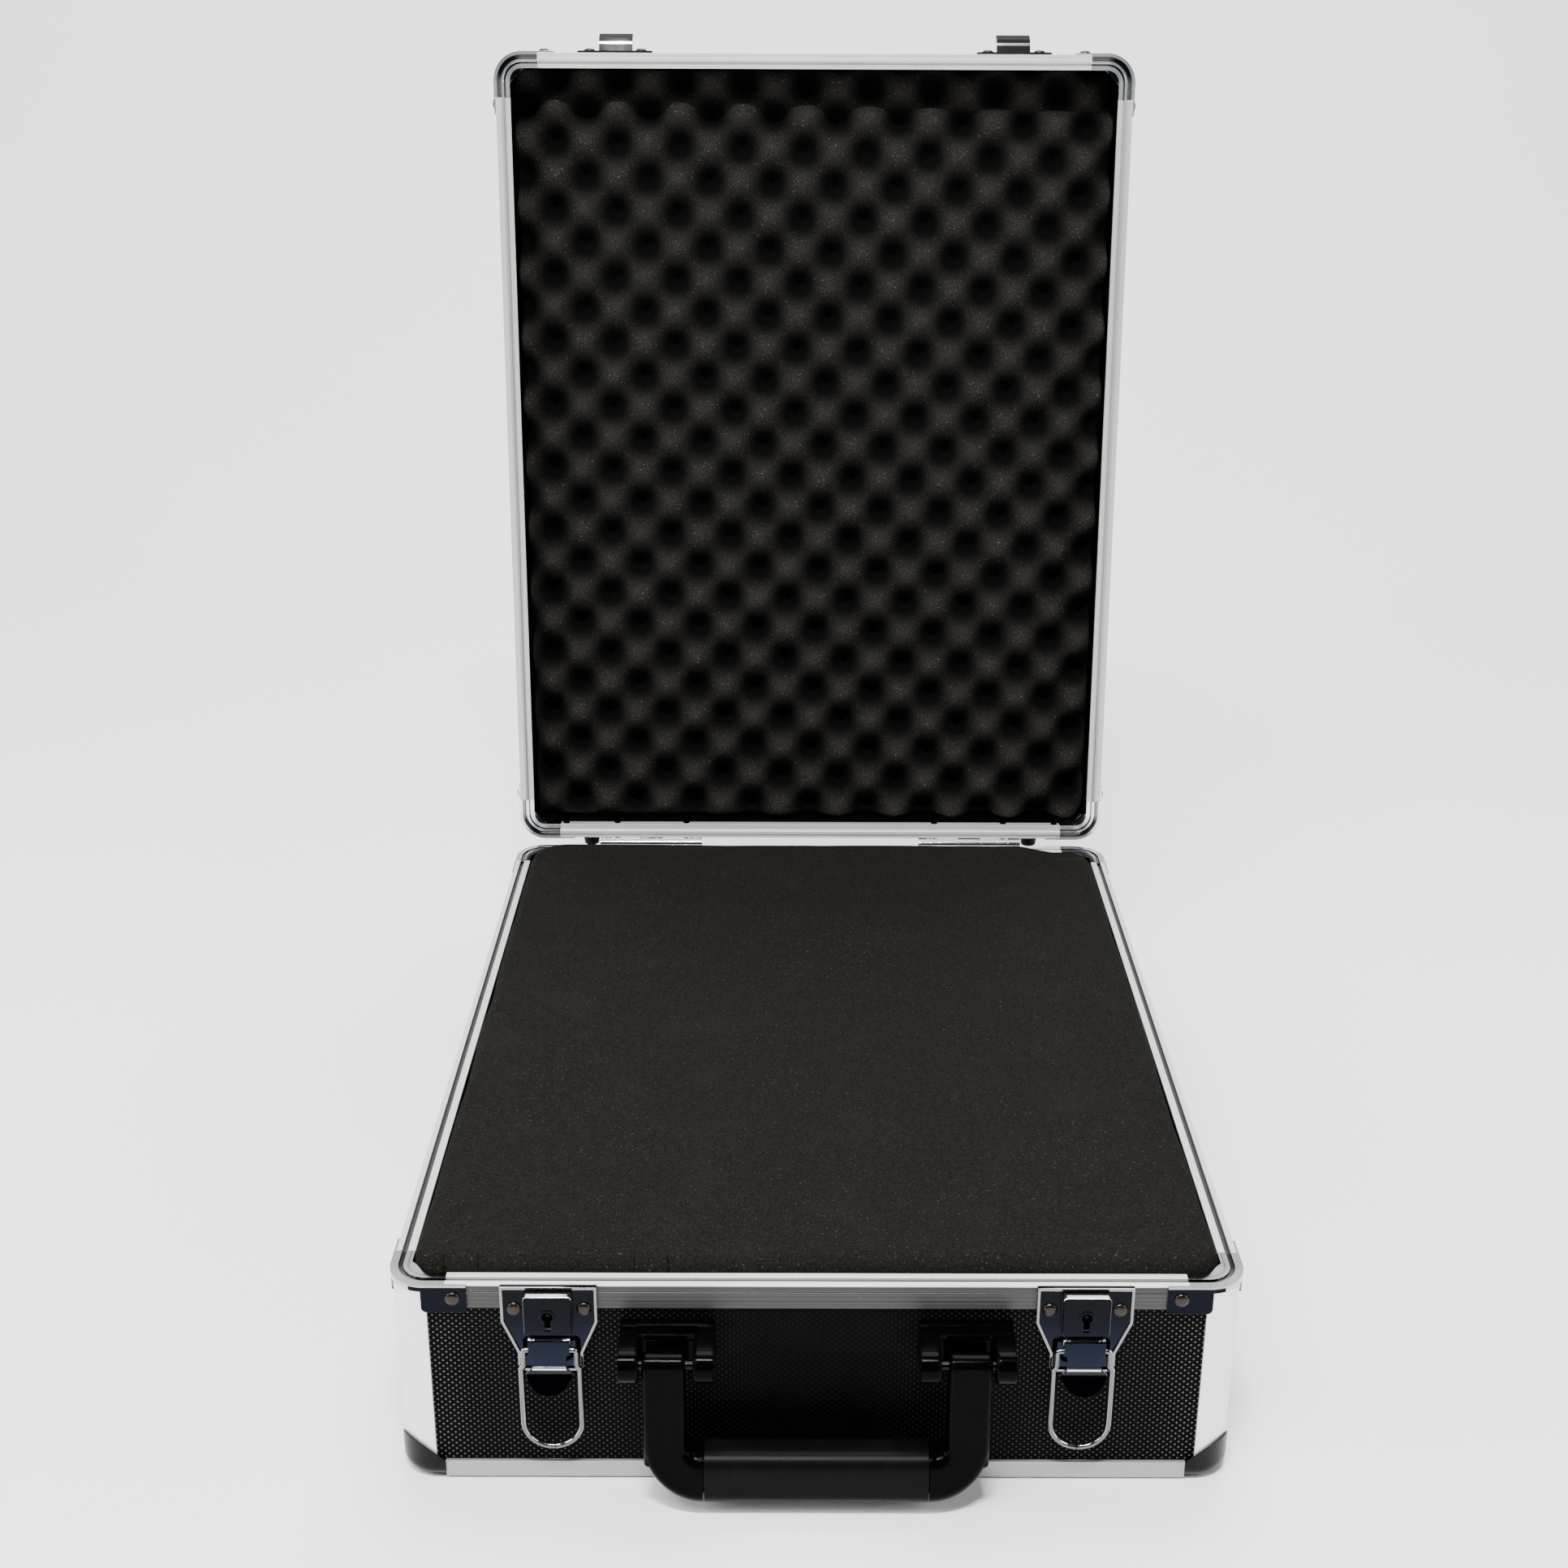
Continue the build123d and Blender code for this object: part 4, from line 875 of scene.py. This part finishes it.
class CASE_OT_stage(bpy.types.Operator):
    """Floor, soft lights and the camera at the photograph's angle"""

    bl_idname = "mixer_case.stage"
    bl_label = "Stage"

    def execute(self, context):
        points = self.sweep_profile()
        half_width = 9.0
        vertices = [Vector((side, y, z)) for y, z in points for side in (-half_width, half_width)]
        faces = [(2 * i, 2 * i + 1, 2 * i + 3, 2 * i + 2) for i in range(len(points) - 1)]
        floor = mesh_object("floor", vertices, faces, self.floor_finish())
        world = bpy.data.worlds.new("studio")
        world.use_nodes = True
        background = world.node_tree.nodes["Background"]
        background.inputs["Color"].default_value = (0.92, 0.96, 1.0, 1.0)
        background.inputs["Strength"].default_value = 0.09
        context.scene.world = world
        for name, place, size, power in LAMPS:
            self.lamp(name, place, size, power)
        self.camera(context)
        return {"FINISHED"}

    def sweep_profile(self):
        """Floor that curves up into a backdrop, as points in y and z."""
        flat_end, radius, wall_top, turns = 0.9, 1.1, 4.5, 16
        points = [(-14.0, 0.0), (-1.0, 0.0)]
        for turn in range(turns + 1):
            angle = math.pi / 2 * turn / turns
            points.append((flat_end + radius * math.sin(angle), radius * (1 - math.cos(angle))))
        return [*points, (flat_end + radius, wall_top)]

    def floor_finish(self):
        finish = Finish("floor_paper", Roughness=0.9, Specular_IOR_Level=0.2)
        cloud = finish.noise(0.002, 3.0)
        finish.feed(Base_Color=finish.blend(cloud, shade(0.88), shade(0.92)))
        return finish.material

    def lamp(self, name, place, size, power):
        """Rectangular lamp that faces the case."""
        target = Vector((0.0, 0.05, 0.2))
        light = bpy.data.lights.new(name, "AREA")
        light.shape = "RECTANGLE"
        light.size, light.size_y = size
        light.energy = power
        lamp = linked(name, light)
        lamp.location = place
        lamp.rotation_euler = (target - lamp.location).to_track_quat("-Z", "Y").to_euler()

    def camera(self, context):
        """Camera with the photograph's place, turn, focal length and off-centre crop, in pixels."""
        place = (-0.0103, -0.9384, 0.5995)
        pixels, focal = 1932.0, 2574.0
        off_right, off_down = 19.7, 2.3
        yaw, pitch, roll = (math.radians(degrees) for degrees in (0.192, 21.674, 0.257))
        flat = math.cos(pitch)
        forward = Vector((math.sin(yaw) * flat, math.cos(yaw) * flat, -math.sin(pitch)))
        level = Vector((math.cos(yaw), -math.sin(yaw), 0.0))
        upright = level.cross(forward)
        right = level * math.cos(roll) + upright * math.sin(roll)
        up = upright * math.cos(roll) - level * math.sin(roll)
        data = bpy.data.cameras.new("photo_view")
        data.sensor_width = 36.0
        data.lens = focal / pixels * data.sensor_width
        data.shift_x = -off_right / pixels
        data.shift_y = off_down / pixels
        data.clip_start, data.clip_end = 0.05, 30.0
        camera = linked("photo_view", data)
        camera.matrix_world = axes_at(place, right, up, -forward)
        context.scene.camera = camera


class CASE_OT_panels(bpy.types.Operator):
    """Black dotted laminate on the base's and the lid's panels"""

    bl_idname = "mixer_case.panels"
    bl_label = "Panels"

    def execute(self, context):
        for name, across, upward, wall, middle_shade, nodes in (
            # The front's middle loses its painted dot highlights: painted shade.
            ("base_front", AXIS_X, AXIS_Z, "base", 0.94, ("base_front_panel",)),
            ("base_rear", AXIS_X, AXIS_Z, "base", 0.0, ("base_rear_panel",)),
            ("base_sides", AXIS_Y, AXIS_Z, "base", 0.0, ("base_left_panel", "base_right_panel")),
            ("base_bottom", AXIS_X, AXIS_Y, None, 0.0, ("base_bottom_panel",)),
            ("lid_ends", AXIS_X, LID_DEEP, "lid", 0.0, ("lid_front_panel", "lid_rear_panel")),
            ("lid_sides", LID_ALONG, LID_DEEP, "lid", 0.0, ("lid_left_panel", "lid_right_panel")),
            ("lid_top", AXIS_X, LID_ALONG, None, 0.0, ("lid_top_panel",)),
        ):
            dress(laminate(f"laminate_{name}", across, upward, wall, middle_shade), *nodes)
        return {"FINISHED"}


class CASE_OT_profiles(bpy.types.Operator):
    """Satin aluminium on the rims, corner profiles and edge profiles"""

    bl_idname = "mixer_case.profiles"
    bl_label = "Aluminium profiles"

    def execute(self, context):
        # Painted light and shade: the levels are lit and shaded copies of the one aluminium,
        # darkest on the edge profiles.
        faces = (AXIS_Z, 97.0, 96.6)
        ends, sides = {"faces": faces}, {"faces": faces, "level": 0.75}
        lid_sides = {"level": 0.7, "band": "lid"}
        for name, direction, looks, nodes in (
            ("across", AXIS_X, {"level": 0.8}, ("lid_rim_front", "lid_rim_rear")),
            ("rim_ends", AXIS_X, ends, ("base_rim_front", "base_rim_rear")),
            ("rim_sides", AXIS_Y, sides, ("base_rim_left", "base_rim_right")),
            ("lid_along", LID_ALONG, lid_sides, ("lid_rim_left", "lid_rim_right")),
            ("upright", AXIS_Z, {"shaded_inside": "base"}, ("base_corner_profiles",)),
            ("lid_deep", LID_DEEP, {"shaded_inside": "lid"}, ("lid_corner_profiles",)),
            ("edges", AXIS_X, {"level": 0.42}, ("base_edge_profiles", "lid_edge_profiles")),
        ):
            dress(extrusion(f"aluminium_{name}", direction, **looks), *nodes)
        return {"FINISHED"}


class CASE_OT_corners(bpy.types.Operator):
    """Moulded ball corners and plated rim corners"""

    bl_idname = "mixer_case.corners"
    bl_label = "Corners"

    def execute(self, context):
        ball = moulded("ball_corner_plastic", shade(0.0015), 0.22, 0.02, edge_mm=0.8, specular=0.12)
        dress(ball, "base_ball_corners", "lid_ball_corners")
        dress(corner_plating("base", 1.0), "base_rim_corners")
        dress(corner_plating("lid", 0.8), "lid_rim_corners")
        return {"FINISHED"}


class CASE_OT_rivets(bpy.types.Operator):
    """Domed rivets in the corners, latches, catches and hinges"""

    bl_idname = "mixer_case.rivets"
    bl_label = "Rivets"

    def execute(self, context):
        dome = 1.5 * MM
        for body, ways in (("base", (AXIS_X, AXIS_Y)), ("lid", (AXIS_X, LID_ALONG))):
            node = f"{body}_rivets"
            finish = Finish(f"{body}_rivet_plating", Metallic=1.0)
            # Painted shade: rivet parts inside the shell, deeper than 2.6 mm in from its outline,
            # are painted near black.
            buried_shade = (finish.inset(body).rise(2.6, 3.2), shade(0.001))
            plating = plated(finish, (0.036, 0.03, 0.027), 0.28, edge_mm=0.0, dark=buried_shade)
            lengths = {}
            for seat, outward, length in rivet_seats(node, ways, dome):
                lengths.setdefault(round(length / MM, 1), []).append((seat, outward))
            parts = []
            for length, seats in sorted(lengths.items()):
                name = f"{node}_{length:.1f}"
                parts.append(self.planted(name, seats, length * MM, dome, plating))
            piece = joined(f"{body}_domed_rivets", parts, plating)
            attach(piece, body)
            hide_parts(node)
        return {"FINISHED"}

    def planted(self, name, seats, length, dome, plating):
        """One mesh of equal rivets, each on its seat."""
        head = bpy.context.scene.mixer_case_sizes.rivet_head
        fastener = mesh_object(f"{name}_one", *domed_rivet(head, dome, length), plating)
        mesh = bpy.data.meshes.new(name)
        mesh.from_pydata([tuple(seat) for seat, outward in seats], [], [])
        ways = mesh.attributes.new("outward", "FLOAT_VECTOR", "POINT")
        for index, (seat, outward) in enumerate(seats):
            ways.data[index].vector = outward
        piece = linked(name, mesh)
        grown(piece, scatter_group(plating), Fastener=fastener)
        bpy.data.objects.remove(fastener)
        return piece


class CASE_OT_base_foam(bpy.types.Operator):
    """Foam block that fills the base, with its pad underneath"""

    bl_idname = "mixer_case.base_foam"
    bl_label = "Base foam"

    def execute(self, context):
        sizes = context.scene.mixer_case_sizes
        cuts = (
            (-153.0, -213.5, 0.5),
            (-139.0, -213.0, 0.3),
            (-75.0, -214.0, 0.3),
            (-61.0, -214.5, 0.5),
        )
        material = foam("foam_charcoal", cuts=cuts)
        half_x, half_y = CASE_WIDTH / 2 - sizes.foam_gap, CASE_DEPTH / 2 - sizes.foam_gap
        top, floor = BASE_HEIGHT + sizes.foam_proud, 20.3 * MM
        radii = {"corner": 11 * MM, "rear_left": 23 * MM}
        vertices, faces = slab(half_x, half_y, top, floor, pluck_shape, step=2.5 * MM, **radii)
        block = mesh_object("pluck_foam", vertices, faces, material)
        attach(block, "base")
        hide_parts("base_pluck_foam")
        low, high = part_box("base_foam_pad")
        play_aside, play_up = 0.3 * MM, 0.1 * MM
        half_x, half_y = high[0] - play_aside, high[1] - play_aside
        top, floor = high[2] - play_up, low[2] + play_up
        grid = {"step": 12 * MM, "corner": 9 * MM}
        vertices, faces = slab(half_x, half_y, top, floor, flat_shape, **grid)
        pad = mesh_object("foam_pad", vertices, faces, material, smooth=False)
        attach(pad, "base")
        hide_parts("base_foam_pad")
        return {"FINISHED"}


class CASE_OT_lid_foam(bpy.types.Operator):
    """Egg-crate foam in the lid"""

    bl_idname = "mixer_case.lid_foam"
    bl_label = "Egg-crate foam"

    def execute(self, context):
        sizes = context.scene.mixer_case_sizes
        # Painted shade: the egg-crate's valleys darken.
        valley = (LID_DEEP, LID_MOUTH + 31.0, LID_MOUTH + 18.0)
        # Painted light: level 1.85 makes the lid's foam a lighter copy of the charcoal.
        material = foam("foam_egg_crate", level=1.85, valley=valley)
        wall, board, thickness = 7.6 * MM, 5.9 * MM, 12.0 * MM
        half_x, half_y = CASE_WIDTH / 2 - wall, CASE_DEPTH / 2 - wall
        floor = -(LID_HEIGHT - board)
        top = floor + thickness
        grid = {"step": 1.9 * MM, "corner": 9 * MM}
        vertices, faces = slab(half_x, half_y, top, floor, flat_shape, **grid)
        crate = mesh_object("egg_crate_foam", vertices, faces, material)
        asked = {
            "Pitch X": sizes.crate_pitch[0],
            "Pitch Y": sizes.crate_pitch[1],
            "Peak Height": sizes.crate_height,
            "Turn": math.radians(2.0),
            "Shift X": 6.4 * MM,
            "Shift Y": -10.4 * MM,
            "Floor": floor,
            "Half X": half_x,
            "Half Y": half_y,
            "Edge Height": 4.0 * MM,
        }
        grown(crate, egg_crate_group(material), **asked)
        crate.data.transform(lid_frame())
        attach(crate, "lid")
        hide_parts("lid_foam")
        return {"FINISHED"}


class CASE_OT_hinges(bpy.types.Operator):
    """Plated hinge leaves, hinge pins and the rear feet"""

    bl_idname = "mixer_case.hinges"
    bl_label = "Hinges and feet"

    def execute(self, context):
        leaf = plain_plating("hinge_plating", 0.55, 0.09)
        for side in ("left", "right"):
            dress(leaf, f"hinge_base_leaf_{side}", f"hinge_lid_leaf_{side}")
        dress(plain_plating("pin_steel", 0.35, 0.22), "hinge_pins")
        rubber = moulded("foot_rubber", shade(0.006), 0.6, 0.05)
        dress(rubber, "base_rear_feet", "lid_rear_feet")
        return {"FINISHED"}


class CASE_OT_latches(bpy.types.Operator):
    """Plated latches, bails and catches, with steel bolts and pins"""

    bl_idname = "mixer_case.latches"
    bl_label = "Latches"

    def execute(self, context):
        plate, hook, wire = latch_plating(), catch_plating(), bail_plating()
        steel = plain_plating("lock_steel", 0.12, 0.3)
        for side in ("left", "right"):
            dress(plate, f"latch_plate_{side}", f"latch_lever_{side}")
            dress(hook, f"catch_{side}")
            dress(wire, f"latch_bail_{side}")
            dress(steel, f"lock_bolt_{side}")
        dress(steel, "latch_pins")
        return {"FINISHED"}


class CASE_OT_handle(bpy.types.Operator):
    """Moulded handle with its grip sleeve, brackets, pins and screws"""

    bl_idname = "mixer_case.handle"
    bl_label = "Handle"

    def execute(self, context):
        body = moulded("handle_plastic", shade(0.0006), 0.03, 0.004, edge_mm=1.0, specular=0.025)
        dress(body, "handle_frame", "handle_bracket_left", "handle_bracket_right")
        dress(moulded("grip_plastic", shade(0.002), 0.26, 0.03, specular=0.04), "handle_grip")
        steel = plain_plating("handle_steel", 0.008, 0.2)
        dress(steel, "handle_pin_left", "handle_pin_right", "handle_screws")
        return {"FINISHED"}


class CASE_PT_panel(bpy.types.Panel):
    """Buttons for the pieces, in the order in which they are made"""

    bl_label = "Mixer Case"
    bl_idname = "CASE_PT_panel"
    bl_space_type = "VIEW_3D"
    bl_region_type = "UI"
    bl_category = "Mixer Case"

    def draw(self, context):
        for group in (context.scene.mixer_case_finish, context.scene.mixer_case_sizes):
            for name in group.__annotations__:
                self.layout.prop(group, name)
        for operator in OPERATORS:
            self.layout.operator(operator.bl_idname)


GROUPS = (MixerCaseFinish, MixerCaseSizes)
OPERATORS = (
    CASE_OT_stage,
    CASE_OT_panels,
    CASE_OT_profiles,
    CASE_OT_corners,
    CASE_OT_rivets,
    CASE_OT_base_foam,
    CASE_OT_lid_foam,
    CASE_OT_hinges,
    CASE_OT_latches,
    CASE_OT_handle,
)


def register():
    for item in (*GROUPS, *OPERATORS, CASE_PT_panel):
        bpy.utils.register_class(item)
    bpy.types.Scene.mixer_case_finish = bpy.props.PointerProperty(type=MixerCaseFinish)
    bpy.types.Scene.mixer_case_sizes = bpy.props.PointerProperty(type=MixerCaseSizes)


def unregister():
    del bpy.types.Scene.mixer_case_sizes
    del bpy.types.Scene.mixer_case_finish
    for item in reversed((*GROUPS, *OPERATORS, CASE_PT_panel)):
        bpy.utils.unregister_class(item)


def main():
    register()
    for operator in OPERATORS:
        group, name = operator.bl_idname.split(".")
        getattr(getattr(bpy.ops, group), name)()


if __name__ == "__main__":
    main()
